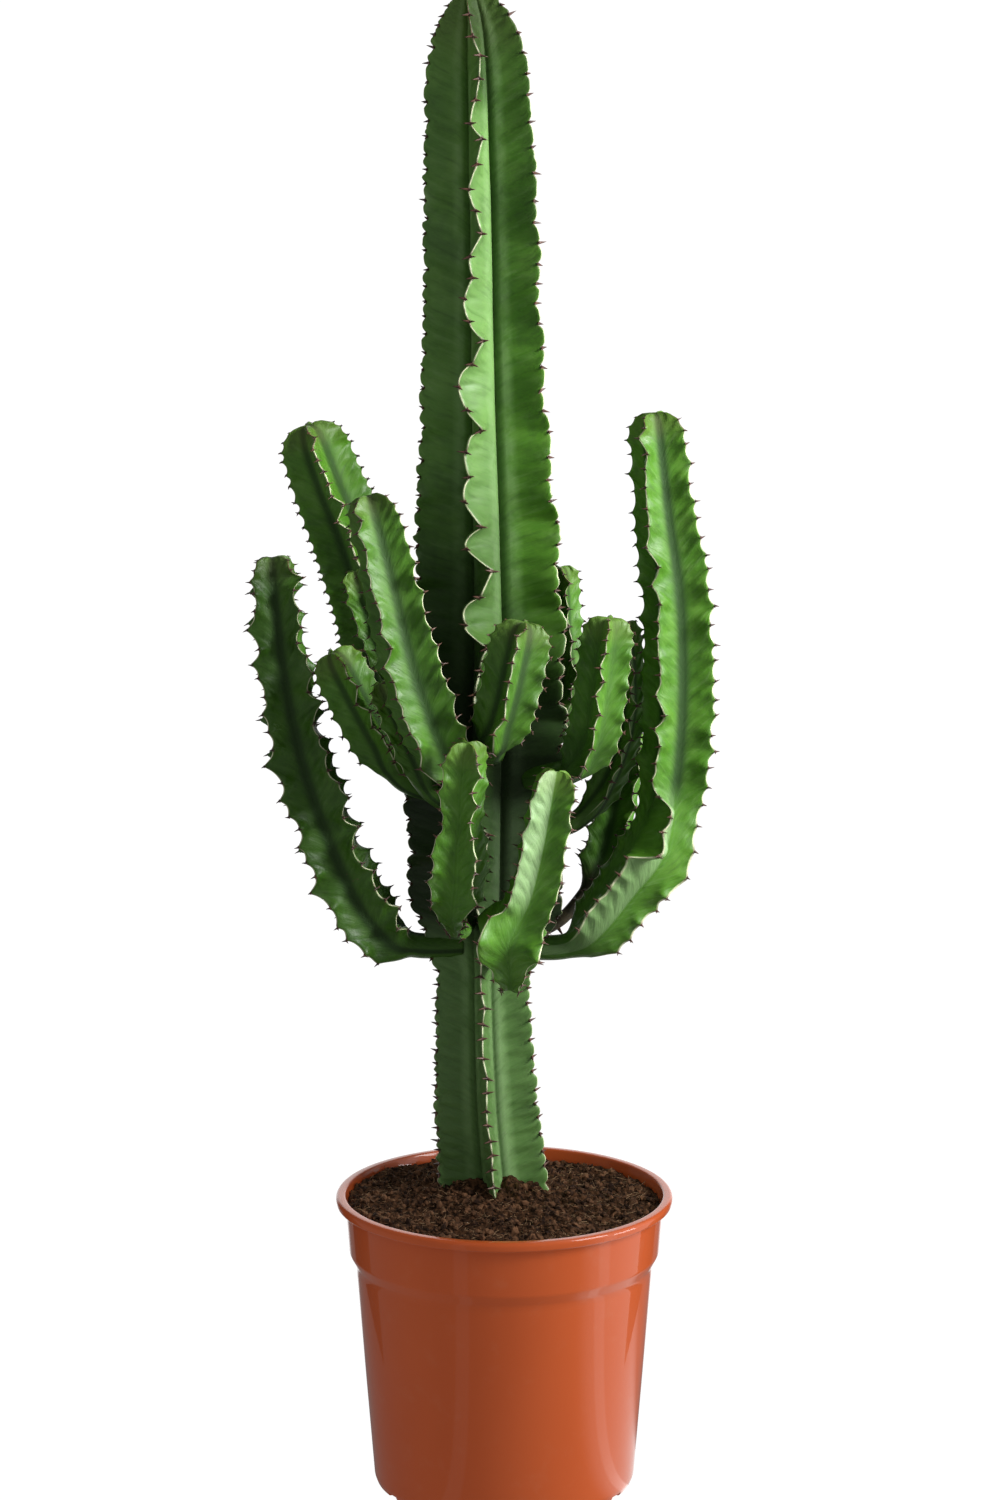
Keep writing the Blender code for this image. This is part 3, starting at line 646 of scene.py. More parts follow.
        # Painted shade: darker skin among the arms, near the arms' roots, over some whole arms and on some
        # faces by height
        dim = np.repeat(self.dim, count).reshape(rings, count)
        for half, values in self.half_painted_shade.items():
            dim = np.maximum(dim, values[:, None] * (halves == half)[None, :])
        add_values(mesh, "dim", dim)
        # Painted shade in the valleys, left off the sunny right face of the front rib
        valleys = np.where(halves == 0.5, self.sunny_valley, 1.0)
        add_values(mesh, "deep", self.deep[:, None] * valleys[None, :])
        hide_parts(self.name)
        return thing

    def crest_places(self, k):
        out, side = self.rib_frame(k)
        crest = self.places + out * (self.radii - self.dips[k])[:, None] + side * self.leans[k][:, None]
        return crest, out, side

    def build_spines(self):
        """Pairs of spines, each on its brown shield, at the teeth."""
        pairs = []
        for k in range(self.ribs):
            crest, out, side = self.crest_places(k)
            for s in self.teeth[k]:
                i = int(np.argmin(abs(self.distances - s)))
                bare = self.ribbed[i] < 0.5 and not (self.woody[i] > 0.5 and k == THORNY_RIB)
                if bare or self.places[i][2] < SPINES_FROM:
                    continue
                lean = math.atan2(self.leans[k][i], CREST_LEVER)
                facing = out[i] * math.cos(lean) + side[i] * math.sin(lean)
                across = side[i] * math.cos(lean) - out[i] * math.sin(lean)
                grown = YOUNG_SPINE + (1 - YOUNG_SPINE) * min(1.0, (self.length - s) / SPINES_GROWN_FROM)
                size = self.spine_share * grown + THORN_GROWTH * self.woody[i]
                pairs.append((crest[i], self.along[i], facing, across, size))
        feet, alongs, facings, acrosses, sizes = (np.array(part) for part in zip(*pairs))
        chance = np.random.default_rng(self.chance.randrange(1000))
        shields = self.shield_places(feet, alongs, facings, acrosses, sizes)
        spines = [self.spine_places(chance, feet, alongs, facings, way * acrosses, sizes) for way in (-1, 1)]
        places, faces, levels = [], [], []
        start = 0
        for cloud, pattern, level in [(shields, shield_faces(), SHIELD_LEVELS)] + [
            (cloud, spine_faces(), SPINE_LEVELS) for cloud in spines
        ]:
            count = cloud.shape[1]
            places.append(cloud.reshape(-1, 3))
            levels.append(np.tile(level, len(cloud)))
            for n in range(len(cloud)):
                faces += [[start + n * count + corner for corner in face] for face in pattern]
            start += len(cloud) * count
        thing = new_piece(self.name + "_spines", np.concatenate(places) * MM, faces)
        add_values(thing.data, "point", np.concatenate(levels))
        return thing

    def shield_places(self, feet, alongs, facings, acrosses, sizes):
        """Small domed lozenges round the feet of the pairs of spines."""
        base = feet - facings * 0.6
        points = [base + facings * (SHIELD_HEIGHT * sizes)[:, None]]
        for n in range(SHIELD_SIDES):
            angle = 2 * math.pi * n / SHIELD_SIDES
            long = SHIELD_LENGTH / 2 * sizes * math.cos(angle)
            wide = SHIELD_WIDTH / 2 * sizes * math.sin(angle)
            points.append(base + alongs * long[:, None] + acrosses * wide[:, None])
        return np.stack(points, axis=1)

    def spine_places(self, chance, feet, alongs, facings, acrosses, sizes):
        """Slender spines that point sideways from the crest, each a little its own way."""
        count = len(feet)
        length = SPINE_LENGTH * sizes * chance.uniform(*SPINE_CHANGE, count)
        way = facings * chance.uniform(*SPINE_OUTWARD, (count, 1)) + acrosses
        way += alongs * chance.uniform(*SPINE_ALONG, (count, 1))
        way /= np.linalg.norm(way, axis=1)[:, None]
        other = np.cross(way, alongs)
        other /= np.linalg.norm(other, axis=1)[:, None]
        third = np.cross(way, other)
        points = []
        for share, thick in SPINE_RINGS:
            middle = feet + way * (length * share)[:, None]
            radius = (SPINE_RADIUS * sizes * thick)[:, None]
            for n in range(SPINE_SIDES):
                angle = 2 * math.pi * n / SPINE_SIDES
                points.append(middle + (other * math.cos(angle) + third * math.sin(angle)) * radius)
        points.append(feet + way * length[:, None])
        return np.stack(points, axis=1)


def shield_faces():
    return [(1 + n, 0, 1 + (n + 1) % SHIELD_SIDES) for n in range(SHIELD_SIDES)]


def spine_faces():
    quads, index = ring_faces(len(SPINE_RINGS), SPINE_SIDES, flipped=True)
    last = index[-1].tolist()
    return quads + [(a, last[-1] + 1, b) for a, b in zip(last, last[1:] + last[:1])]


SHIELD_LEVELS = [0.25] + [0.0] * SHIELD_SIDES
SPINE_LEVELS = [share for share, _ in SPINE_RINGS for _ in range(SPINE_SIDES)] + [1.0]


def make_trunk():
    stem = Stem("trunk", TRUNK_RIBS, TRUNK_RIB, TRUNK_SHOULDER_HIGHLIGHT, seed=5)
    stem.lay(TRUNK_LINE)
    heights = stem.places[:, 2]
    for name, pairs in TRUNK_MARKS.items():
        setattr(stem, name, read_off(pairs, heights))
    stem.turns = np.radians(read_off(TRUNK_TURNS, heights))
    # Painted shade on single faces, by height
    stem.half_painted_shade = {half: read_off(pairs, heights) for half, pairs in HALF_SHADES.items()}
    stem.sunny_valley = 0.0
    stem.pitch_shares = TRUNK_PITCH_SHARES
    base = TRUNK_LINE[0][2]
    stem.set_teeth(
        lambda s: float(read_off(TRUNK_PITCH, np.array([s + base]))[0]), TRUNK_RIBBED_FROM - base, FRONT_TEETH
    )
    stem.set_waves(read_off(TRUNK_WAVE, heights), False, FRONT_TEETH)
    return stem


def by_share(stem, pairs):
    """A value given at shares of the stem's length, at each of its rings."""
    return read_off([(share * stem.length, value) for share, value in pairs], stem.distances)


def make_arm(number, name, spec):
    stem = Stem(name, ARM_RIBS, ARM_RIB, ARM_SHOULDER_HIGHLIGHT, seed=40 + number)
    stem.lay(spec["route"])
    stem.corner_dip = spec.get("dip", CORNER_DIP)
    stem.spine_share = ARM_SPINE_SHARE
    s, (neck, radius), flare = stem.distances, spec["neck"], spec.get("flare", FLARE)
    stem.ribbed = smooth_share(s, neck, neck + flare)
    stem.fill = by_share(stem, spec.get("fill", [(0, 0)]))
    stem.radii = radius + (by_share(stem, spec["body"]) - radius) * stem.ribbed
    dome = spec["body"][-1][1] * TIP_DOME
    rise = TIP_END * np.clip((s - stem.length + dome) / dome, 0, 1)
    stem.radii = stem.radii * (1 - rise ** TIP_POWERS[0]) ** TIP_POWERS[1]
    stem.turns = np.full(len(s), math.radians(spec["turn"]))
    stem.youth = smooth_share(s, stem.length - YOUNG_SKIN, stem.length)
    stem.woody = (1 - stem.ribbed) * spec.get("woody", False)
    # Painted shade near the root and over the whole arm, painted light as a pale sheen, and painted shade in
    # the valleys
    stem.dim = np.maximum(ARM_ROOT_SHADE * (1 - smooth_share(s, *ARM_ROOT_REACH)), spec.get("shade", 0))
    stem.painted_light = by_share(stem, spec.get("painted_light", [(0, 0)]))
    stem.deep = by_share(stem, spec.get("valley", [(0, VALLEY_SHADE)]))
    first = WOODY_TEETH_FROM if spec.get("woody") else neck + flare * 0.4
    stem.set_teeth(lambda s: spec.get("pitch", ARM_PITCH), first)
    stem.set_waves(np.full(len(s), float(spec["wave"])), True)
    stem.leans[0] += by_share(stem, spec.get("lean", [(0, 0)])) * stem.ribbed
    return stem


def new_material(name):
    material = bpy.data.materials.new(name)
    material.use_nodes = True
    nodes = material.node_tree.nodes
    return material, Graph(material), nodes["Principled BSDF"]


class Graph:
    """Short ways to add nodes to a material or a world."""

    def __init__(self, owner):
        self.nodes = owner.node_tree.nodes
        self.links = owner.node_tree.links

    def give(self, node, values):
        """Gives a node's sockets numbers, colours or what other nodes put out."""
        for name, value in values.items():
            socket = node.inputs[name]
            if isinstance(value, (int, float)):
                socket.default_value = value
            elif isinstance(value, tuple):
                socket.default_value = (*value, 1.0)[:len(socket.default_value)]
            else:
                self.links.new(value, socket)

    def add(self, kind, values, **settings):
        node = self.nodes.new("ShaderNode" + kind)
        for name, value in settings.items():
            setattr(node, name, value)
        self.give(node, values)
        return node

    def value(self, name):
        return self.add("Attribute", {}, attribute_name=name).outputs["Fac"]

    def noise(self, scale, detail, roughness=0.55, stretch=None, place=None):
        """Noise over the object's own coordinates, or over a given place."""
        place = place or self.add("TexCoord", {}).outputs["Object"]
        if stretch:
            place = self.add("Mapping", {"Vector": place, "Scale": stretch}).outputs["Vector"]
        values = {"Vector": place, "Scale": scale, "Detail": detail, "Roughness": roughness}
        return self.add("TexNoise", values).outputs["Fac"]

    def streaks(self, rib):
        """Noise drawn out into streaks that curve down from the crest towards the valley."""
        drop = self.times(self.math("SUBTRACT", 1.0, rib), STREAK_SLOPE)
        path, across = self.math("ADD", self.value("along"), drop), self.times(rib, STREAK_ACROSS)
        values = {"X": across, "Y": self.times(path, STREAK_ALONG), "Z": self.value("number")}
        return self.noise(1.0, 3, 0.6, place=self.add("CombineXYZ", values).outputs["Vector"])

    def remap(self, source, low, high, to_low=0.0, to_high=1.0):
        values = {"Value": source, "From Min": low, "From Max": high, "To Min": to_low, "To Max": to_high}
        return self.add("MapRange", values, interpolation_type="SMOOTHSTEP").outputs["Result"]

    def math(self, operation, a, b):
        return self.add("Math", {0: a, 1: b}, operation=operation).outputs["Value"]

    def times(self, a, b):
        return self.math("MULTIPLY", a, b)

    def mix(self, factor, a, b):
        return self.add("Mix", {0: factor, 6: a, 7: b}, data_type="RGBA").outputs[2]

    def bump(self, height, strength, distance, before=None):
        values = {"Height": height, "Strength": strength, "Distance": distance}
        if before:
            values["Normal"] = before
        return self.add("Bump", values).outputs["Normal"]


def skin_material():
    """Waxy green skin: painted shade in the valleys and among the arms, painted highlights and a pale painted
    sheen, pale crests, curved cross streaks, brown crowns, a bluer old foot.
    """
    material, graph, shader = new_material("euphorbia_skin")
    rib, youth, dim = graph.value("rib"), graph.value("youth"), graph.value("dim")
    fine, blotches, streaks = graph.noise(120, 4), graph.noise(40, 3, 0.6), graph.streaks(rib)
    patchy = graph.remap(graph.noise(70, 3), 0.35, 0.6, 0.13, 0.65)
    # A painted highlight: a thin pale line beside the bottom of the valley
    groove = graph.times(graph.remap(rib, 0.05, 0.09, 0, 0.06), graph.remap(rib, 0.17, 0.12))
    # Painted shade in the valleys
    valley = graph.times(graph.remap(rib, 0.10, 0.40, 1.0, 0.0), graph.value("deep"))
    waxy = graph.times(graph.remap(graph.noise(45, 4, 0.6), 0.55, 0.75, 0, 0.35), graph.remap(rib, 0.5, 0.95))
    crest = graph.times(graph.remap(rib, 0.90, 0.97), graph.value("ribbed"))
    crest_colour = graph.mix(graph.remap(youth, 0.55, 0.9), CREST_PALE, CREST_YOUNG)
    # The pale crest line is dimmed where painted shade lies
    worn = graph.times(graph.remap(graph.noise(90, 2), 0.3, 0.62, 0.45, 1.0), graph.remap(dim, 0, 1, 1, 0.75))
    near = graph.times(graph.value("tooth"), graph.remap(rib, 0.86, 0.97, 0, 0.75))
    bark = graph.mix(graph.remap(graph.noise(110, 4), 0.3, 0.7), BARK_DARK, BARK_PALE)
    skin = graph.mix(graph.remap(graph.noise(14, 3), 0.35, 0.65), GREEN_DARK, GREEN_LIGHT)
    for share, colour in (
        (graph.remap(fine, 0.3, 0.75, 0, 0.3), GREEN_FINE),
        (graph.remap(blotches, 0.52, 0.68, 0, 0.45), BLOTCH_DARK),
        (graph.remap(blotches, 0.48, 0.34, 0, 0.35), BLOTCH_PALE),
        (graph.times(graph.value("age"), 0.8), OLD_GREEN),
        # Painted light: a pale sheen on lit faces and paler colour on some shaded ones
        (graph.value("painted_light"), PAINTED_LIGHT_GREEN),
        (graph.remap(streaks, 0.5, 0.8, 0, 0.42), STREAK_PALE),
        (graph.remap(streaks, 0.5, 0.22, 0, 0.50), STREAK_DARK),
        # Painted highlight along the shoulder
        (graph.times(graph.value("shoulder_highlight"), patchy), SHOULDER_HIGHLIGHT_PALE),
        # Painted highlight beside the valley
        (groove, GROOVE_HIGHLIGHT),
        (valley, VALLEY_PAINTED_SHADE),
        (waxy, WORN_WAX),
        (graph.remap(graph.noise(24, 6, 0.7), 0.70, 0.74, 0, 0.6), SCAR_BROWN),
        (graph.remap(youth, 0.3, 1.0, 0, 0.2), TIP_BROWN),
        # Painted shade
        (dim, PAINTED_SHADE_DARK),
        (graph.times(crest, worn), crest_colour),
        (near, TOOTH_BROWN),
        (graph.value("woody"), bark),
    ):
        skin = graph.mix(share, skin, colour)
    dull = graph.remap(rib, 0.10, 0.60, 0.30, 0.0)
    rough = graph.math("ADD", graph.remap(fine, 0.2, 0.8, 0.42, 0.54), dull)
    normal = graph.bump(graph.noise(380, 3), 0.08, 0.0006)
    normal = graph.bump(streaks, 0.42, 0.0013, normal)
    normal = graph.bump(graph.noise(50, 3), 0.15, 0.002, normal)
    graph.give(shader, {
        "Base Color": skin, "Roughness": rough, "Normal": normal, "Specular IOR Level": 0.38,
        "Subsurface Weight": 0.05, "Subsurface Radius": (0.0015, 0.004, 0.001),
    })
    return material


def spine_material():
    """Dark brown shields, and spines with their own shade of brown at the tip."""
    material, graph, shader = new_material("euphorbia_spines")
    foot = graph.mix(graph.remap(graph.noise(260, 2), 0.35, 0.7), SPINE_DARK, SPINE_BROWN)
    colour = graph.mix(graph.remap(graph.value("point"), 0.2, 0.8), foot, SPINE_TIP)
    graph.give(shader, {"Base Color": colour, "Roughness": 0.5})
    return material


def pot_material():
    """Moulded terracotta-coloured plastic with a glossy skin, faint flow marks and dust."""
    material, graph, shader = new_material("pot_plastic")
    cloud = graph.noise(9, 3, 0.5, (1.0, 1.0, 0.35))
    colour = graph.mix(graph.remap(cloud, 0.35, 0.65), POT_DARK, POT_LIGHT)
    colour = graph.mix(graph.remap(graph.noise(60, 5, 0.6), 0.52, 0.78, 0, 0.08), colour, POT_DUST)
    normal = graph.bump(graph.noise(420, 2), 0.05, 0.0003)
    normal = graph.bump(graph.noise(16, 2, 0.5, (1.0, 1.0, 0.4)), 0.06, 0.004, normal)
    rough = graph.remap(graph.noise(35, 3), 0.3, 0.7, 0.30, 0.38)
    graph.give(shader, {
        "Base Color": colour, "Roughness": rough, "Normal": normal, "Specular IOR Level": 0.1,
        "Coat Weight": POT_COAT, "Coat Roughness": 0.035, "Coat IOR": 1.4,
    })
    return material


def soil_material():
    """Dark moist potting mix with brown bits."""
    material, graph, shader = new_material("potting_soil")
    grain = graph.noise(260, 5, 0.65)
    colour = graph.mix(graph.remap(grain, 0.35, 0.7), SOIL_DARK, SOIL_LIGHT)
    colour = graph.mix(graph.remap(graph.noise(620, 3, 0.7), 0.62, 0.74, 0, 0.7), colour, SOIL_BITS)
    normal = graph.bump(grain, 0.8, 0.002)
    graph.give(shader, {"Base Color": colour, "Roughness": 0.92, "Specular IOR Level": 0.1, "Normal": normal})
    return material


def bit_material(name, dark, light):
    """Loose bits in the soil, each darker or paler than the next."""
    material, graph, shader = new_material(name)
    colour = graph.mix(graph.remap(graph.noise(150, 2), 0.35, 0.68), dark, light)
    graph.give(shader, {"Base Color": colour, "Roughness": 0.85, "Specular IOR Level": 0.15})
    return material


def wall_radius(height):
    """Outer radius of the pot's wall below its lip."""
    levels = [0.0, POT_HEIGHT - STEP_DEPTH, POT_HEIGHT - COLLAR_DEPTH, POT_HEIGHT - LIP_DEPTH]
    radii = [WALL_LOW_RADIUS, WALL_TOP_RADIUS, COLLAR_LOW_RADIUS, COLLAR_TOP_RADIUS]
    return float(np.interp(height, levels, radii))


def rounded(points, radius, steps=4):
    """The outline with each inner corner rounded to about the given radius."""
    points = [Vector(p) for p in points]
    result = [points[0]]
    for before, corner, after in zip(points, points[1:], points[2:]):
        back, ahead = before - corner, after - corner
        reach = min(radius, back.length * 0.45, ahead.length * 0.45)
        start, end = corner + back.normalized() * reach, corner + ahead.normalized() * reach
        for t in (n / steps for n in range(steps + 1)):
            result.append(start * (1 - t) ** 2 + corner * 2 * t * (1 - t) + end * t ** 2)
    return result + [points[-1]]


def pot_outline():
    """The pot's outline from the middle of its floor up inside, over the lip and down outside."""
    top, under_lip = POT_HEIGHT, POT_HEIGHT - LIP_DEPTH
    step_top, step_low = top - COLLAR_DEPTH, top - STEP_DEPTH
    inner = [(0.0, FLOOR)] + [(wall_radius(z) - WALL, z) for z in (FLOOR, step_low, step_top)]
    inner += [(COLLAR_TOP_RADIUS - WALL, under_lip), (LIP_INNER_RADIUS, top)]
    lip = [
        (RIM_RADIUS - 1.5 * MM, top - 0.2 * MM), (RIM_RADIUS, top - 2.2 * MM),
        (RIM_RADIUS - 0.6 * MM, under_lip), (COLLAR_TOP_RADIUS + 1 * MM, under_lip - 0.2 * MM),
        (COLLAR_TOP_RADIUS, under_lip - 2 * MM),
    ]
    outer = [
        (wall_radius(step_top), step_top), (wall_radius(step_low) + 0.6 * MM, step_low),
        (wall_radius(step_low) - 0.2 * MM, step_low - 4 * MM),
        (WALL_LOW_RADIUS + 0.3 * MM, 5 * MM), (WALL_LOW_RADIUS - 1.6 * MM, 0.0), (0.0, 0.0),
    ]
    return rounded(inner + lip + outer, CORNER_ROUND)


def turned(name, outline, sides):
    """A closed body turned round the Z axis from points that run down its outer side."""
    mesh = bpy.data.meshes.new(name)
    mesh.from_pydata([(p[0], 0.0, p[1]) for p in outline], [(i, i + 1) for i in range(len(outline) - 1)], [])
    thing = add_object(name, mesh)
    screw = thing.modifiers.new("Turn", "SCREW")
    screw.steps = screw.render_steps = sides
    screw.use_merge_vertices = True
    screw.merge_threshold = 0.05 * MM
    return thing


def bake(thing):
    """Replaces an object's mesh by the one its modifiers give."""
    graph = bpy.context.evaluated_depsgraph_get()
    mesh = bpy.data.meshes.new_from_object(thing.evaluated_get(graph))
    thing.modifiers.clear()
    thing.data = mesh


def make_pot():
    pot = turned("nursery_pot", pot_outline(), POT_SIDES)
    bake(pot)
    cutters = bpy.data.collections.new("pot_cutters")
    bpy.context.scene.collection.children.link(cutters)
    length = RIM_RADIUS - HUB_RADIUS
    for k in range(GROOVES):
        angle = 2 * math.pi * (k + 0.5) / GROOVES
        form = bmesh.new()
        bmesh.ops.create_cube(form, size=1.0)
        bmesh.ops.scale(form, vec=(length, GROOVE_WIDTH, 2 * GROOVE_DEPTH), verts=form.verts)
        bmesh.ops.translate(form, vec=(HUB_RADIUS + length / 2, 0.0, 0.0), verts=form.verts)
        bmesh.ops.rotate(form, cent=(0, 0, 0), matrix=Matrix.Rotation(angle, 3, "Z"), verts=form.verts)
        add_cutter(form, "groove_%d" % k, cutters)
        form = bmesh.new()
        radii = dict(radius1=DRAIN_HOLE_RADIUS, radius2=DRAIN_HOLE_RADIUS)
        bmesh.ops.create_cone(form, cap_ends=True, segments=28, depth=4 * FLOOR, **radii)
        place = Vector((math.cos(angle), math.sin(angle), 0.0)) * DRAIN_HOLE_PLACE
        bmesh.ops.translate(form, vec=place, verts=form.verts)
        add_cutter(form, "drain_hole_%d" % k, cutters)
    bpy.context.view_layer.update()
    cut = pot.modifiers.new("Cut", "BOOLEAN")
    cut.operand_type = "COLLECTION"
    cut.collection = cutters
    bake(pot)
    for guide in list(cutters.objects):
        bpy.data.objects.remove(guide, do_unlink=True)
    bpy.data.collections.remove(cutters)
    pot.data.shade_smooth()
    pot.data.set_sharp_from_angle(angle=math.radians(SHARP_ANGLE))
    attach(pot, "root")
    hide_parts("pot")
    pot.data.materials.clear()
    pot.data.materials.append(pot_material())
    return pot


def add_cutter(form, name, group):
    group.objects.link(bpy.data.objects.new(name, mesh_of(form, name)))


def soil_height(x, y):
    """Height of the crumbly soil surface, which rises to the trunk."""
    away = min(math.hypot(x - TRUNK_LINE[3][0] * MM, y - TRUNK_LINE[3][1] * MM) / MOUND_RADIUS, 1.0)
    mound = SOIL_MOUND * (0.5 + 0.5 * math.cos(math.pi * away))
    place = Vector((x, y, 0.0))
    lump = sum(height * MM * noise.noise(place / (width * MM)) for width, height in SOIL_LUMPS)
    tilt = SOIL_TILT * (x + y) / RIM_RADIUS
    return POT_HEIGHT - SOIL_BELOW_RIM + mound + lump - tilt


def soil_edge():
    return wall_radius(POT_HEIGHT - SOIL_BELOW_RIM) - WALL - 0.3 * MM


def make_soil():
    edge = soil_edge()
    turns = [2 * math.pi * n / SOIL_SIDES for n in range(SOIL_SIDES)]
    places = []
    for ring in range(1, SOIL_RINGS + 1):
        radius = edge * ring / SOIL_RINGS
        for x, y in ((radius * math.cos(angle), radius * math.sin(angle)) for angle in turns):
            places.append((x, y, soil_height(x, y)))
    below = [wall_radius(level) - WALL - SOIL_GAP for level in (POT_HEIGHT - STEP_DEPTH + 1 * MM, FLOOR)]
    for radius, height in zip([edge, *below], SOIL_LEVELS):
        places += [(radius * math.cos(angle), radius * math.sin(angle), height) for angle in turns]
    quads, index = ring_faces(SOIL_RINGS + len(SOIL_LEVELS), SOIL_SIDES, flipped=True)
    faces = quads + [index[0].tolist(), index[-1][::-1].tolist()]
    soil = new_piece("soil_filling", places, faces)
    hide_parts("soil")
    soil.data.materials.append(soil_material())
    return soil


def spread_place(chance):
    """A random place on the soil, inside the pot and outside the trunk's foot."""
    while True:
        radius = (soil_edge() - 3 * MM) * math.sqrt(chance.uniform(0, 1))
        angle = chance.uniform(0, 2 * math.pi)
        x, y = radius * math.cos(angle), radius * math.sin(angle)
        if math.hypot(x - FOOT_PLACE[0], y - FOOT_PLACE[1]) > FOOT_CLEARANCE:
            return x, y


def make_crumbs():
    """Lumps of soil and bark that lie on the surface."""
    form = bmesh.new()
    bmesh.ops.create_icosphere(form, subdivisions=1, radius=1.0)
    ball = np.array([vertex.co[:] for vertex in form.verts])
    faces = np.array([[vertex.index for vertex in face.verts] for face in form.faces])
    form.free()
    chance = np.random.default_rng(11)
    places, all_faces = [], []
    for n in range(CRUMBS):
        x, y = spread_place(chance)
        size = chance.choice(CRUMB_SIZES)
        turn, _ = np.linalg.qr(chance.normal(size=(3, 3)))
        turn *= np.sign(np.linalg.det(turn))
        lump = ball * chance.uniform(*CRUMB_DENTS, (len(ball), 1)) * chance.uniform(*CRUMB_STRETCH, 3)
        places.append(lump @ turn * size * MM + (x, y, soil_height(x, y) + size * 0.2 * MM))
        all_faces.append(faces + n * len(ball))
    crumbs = new_piece("soil_crumbs", np.concatenate(places), np.concatenate(all_faces).tolist())
    crumbs.data.shade_flat()
    crumbs.data.materials.append(bit_material("soil_crumb", CRUMB_DARK, CRUMB_LIGHT))
    return crumbs


def make_fibres():
    """Pale threads and splinters of coir and peat."""
    chance = np.random.default_rng(12)
    form = bmesh.new()
    for _ in range(FIBRES):
        x, y = spread_place(chance)
        length = chance.uniform(*FIBRE_LENGTHS) * MM
        angle = chance.uniform(0, 2 * math.pi)
        tilt = chance.uniform(*FIBRE_TILTS)
        bend = chance.uniform(*FIBRE_BENDS)
        thick = chance.uniform(*FIBRE_THICKNESS) * MM
        place = Vector((x, y, soil_height(x, y) + 0.7 * MM))
        up = Vector((0.0, 0.0, thick))
        rings = []
        for way in (angle + bend * n / 3 for n in range(4)):
            side = Vector((-math.sin(way), math.cos(way), 0.0)) * thick
            rings.append([form.verts.new(place + d) for d in (side, up, -side)])
            place = place + Vector((math.cos(way), math.sin(way), math.sin(tilt))) * length / 3
        for low, high in zip(rings, rings[1:]):
            for m in range(3):
                form.faces.new((low[m], low[(m + 1) % 3], high[(m + 1) % 3], high[m]))
        form.faces.new(list(reversed(rings[0])))
        form.faces.new(rings[-1])
    mesh = mesh_of(form, "soil_fibres")
    mesh.shade_smooth()
    mesh.materials.append(bit_material("soil_fibre", FIBRE_DARK, FIBRE_LIGHT))
    fibres = add_object("soil_fibres", mesh)
    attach(fibres, "root")
    return fibres


def make_plant():
    skin, spines = skin_material(), spine_material()
    plant = []
    for stem in [make_trunk()] + [make_arm(n, name, spec) for n, (name, spec) in enumerate(ARMS.items())]:
        for thing, material in ((stem.build(), skin), (stem.build_spines(), spines)):
            thing.data.materials.append(material)
            plant.append(thing)
    return plant


def studio_shine(graph, coordinates):
    """How bright the studio looks in reflections, by the direction from the middle."""
    place = graph.add("SeparateXYZ", {"Vector": graph.add("TexCoord", {}).outputs[coordinates]})
    turn = graph.math("ARCTAN2", place.outputs["X"], graph.times(place.outputs["Y"], -1.0))
    shine = FRONT_SHINE
    for direction, half, strength in SHINES:
        if direction == 180:
            off = graph.math("SUBTRACT", math.pi, graph.math("ABSOLUTE", turn, 0.0))
        else:
            off = graph.math("ABSOLUTE", graph.math("SUBTRACT", turn, math.radians(direction)), 0.0)
        glow = graph.remap(off, math.radians(half), math.radians(half * 0.6), 0.0, strength)
        shine = graph.math("ADD", shine, glow)
    return shine


def make_floor():
    """A white floor that looks brighter to the camera than it does to the plant."""
    form = bmesh.new()
    bmesh.ops.create_grid(form, x_segments=1, y_segments=1, size=60.0)
    floor = add_object("floor", mesh_of(form, "floor"))
    material, graph, shader = new_material("floor_white")
    path = graph.add("LightPath", {})
    glossy = path.outputs["Is Glossy Ray"]
    shine = graph.times(glossy, studio_shine(graph, "Object"))
    dull = graph.times(graph.math("SUBTRACT", 1.0, glossy), FLOOR_GLOW)
    seen = graph.math("MAXIMUM", graph.math("ADD", dull, shine), path.outputs["Is Camera Ray"])
    graph.give(shader, {
        "Base Color": (FLOOR_SHADE,) * 3, "Roughness": 0.8, "Specular IOR Level": 0.1,
        "Emission Color": WHITE, "Emission Strength": seen,
    })
    floor.data.materials.append(material)


def add_lamp(name, place, target, size, power):
    light = bpy.data.lights.new(name, "AREA")
    light.shape = "RECTANGLE"
    light.size, light.size_y = size
    light.energy = power
    lamp = add_object(name, light)
    lamp.location = place
    lamp.rotation_euler = (Vector(target) - Vector(place)).to_track_quat("-Z", "Y").to_euler()
    return lamp


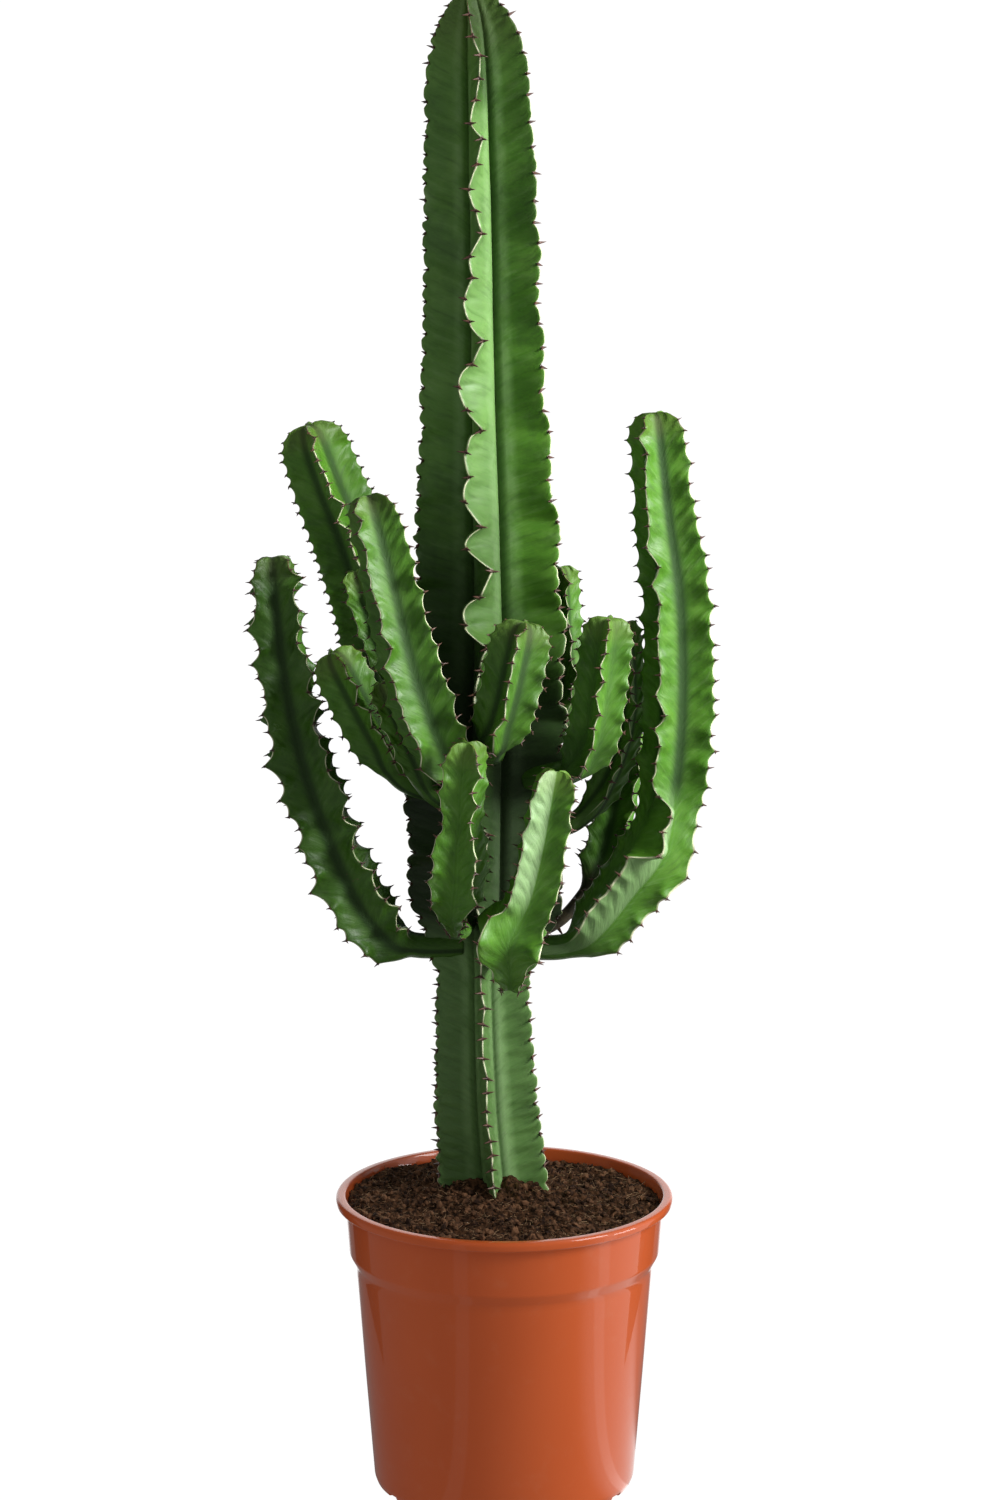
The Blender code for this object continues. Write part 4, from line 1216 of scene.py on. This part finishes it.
def add_flag(name, ends):
    """A black upright board, cut to a point below, that only shows as a dark reflection."""
    (near, far), (low, middle, top) = ends, FLAG_LEVELS
    mesh = bpy.data.meshes.new(name)
    mesh.from_pydata([(*near, low), (*near, top), (*far, top), (*far, middle)], [], [(0, 1, 2, 3)])
    flag = add_object(name, mesh)
    material, graph, shader = new_material(name)
    graph.give(shader, {"Base Color": (0.0, 0.0, 0.0), "Specular IOR Level": 0.0, "Roughness": 1.0})
    mesh.materials.append(material)
    flag.visible_camera = flag.visible_diffuse = flag.visible_shadow = False


def gathered(name, things):
    """A collection of the things that one light shines on."""
    group = bpy.data.collections.new(name)
    for thing in things:
        group.objects.link(thing)
    return group


def light_studio(plant, potted):
    """A white room, dim by itself, with lamps on the right that each shine on some pieces only."""
    world = bpy.data.worlds.new("studio")
    bpy.context.scene.world = world
    world.use_nodes = True
    graph = Graph(world)
    path = graph.add("LightPath", {})
    room = graph.nodes["Background"]
    graph.give(room, {"Color": WHITE, "Strength": ROOM_LIGHT})
    result = room.outputs["Background"]
    for ray, strength in (("Is Glossy Ray", studio_shine(graph, "Generated")), ("Is Camera Ray", 1.0)):
        shade = graph.add("Background", {"Color": WHITE, "Strength": strength}).outputs["Background"]
        result = graph.add("MixShader", {"Fac": path.outputs[ray], 1: result, 2: shade}).outputs["Shader"]
    graph.give(graph.nodes["World Output"], {"Surface": result})
    back_arm = [thing for thing in plant if thing.name.startswith("arm_left_back")]
    lit = {"key": plant, "side": potted[:1], "above": potted, "back": back_arm}
    lamps = {name: add_lamp(name, *values) for name, values in LAMPS.items()}
    for name, lamp in lamps.items():
        lamp.light_linking.receiver_collection = gathered("lit_by_" + name, lit[name])
    lamps["key"].data.spread = math.radians(KEY_SPREAD)
    linking = lamps["back"].light_linking
    linking.blocker_collection = linking.receiver_collection
    for way in (-1, 1):
        add_flag("flag_%d" % (way + 2), [(way * x, y) for x, y in FLAG_ENDS])
    bpy.context.scene.view_settings.view_transform = "Standard"
    bpy.context.scene.view_settings.look = "None"


def make_camera():
    camera = bpy.data.cameras.new("camera")
    camera.sensor_fit = "VERTICAL"
    camera.sensor_height = 36.0
    camera.lens = CAMERA_LENS
    camera.clip_end = 50.0
    thing = add_object("camera", camera)
    thing.location = CAMERA_PLACE
    thing.rotation_euler = (math.radians(90 - CAMERA_PITCH), 0.0, 0.0)
    bpy.context.scene.camera = thing


make_camera()
make_floor()
potted = [make_pot(), make_soil(), make_crumbs(), make_fibres()]
light_studio(make_plant(), potted)
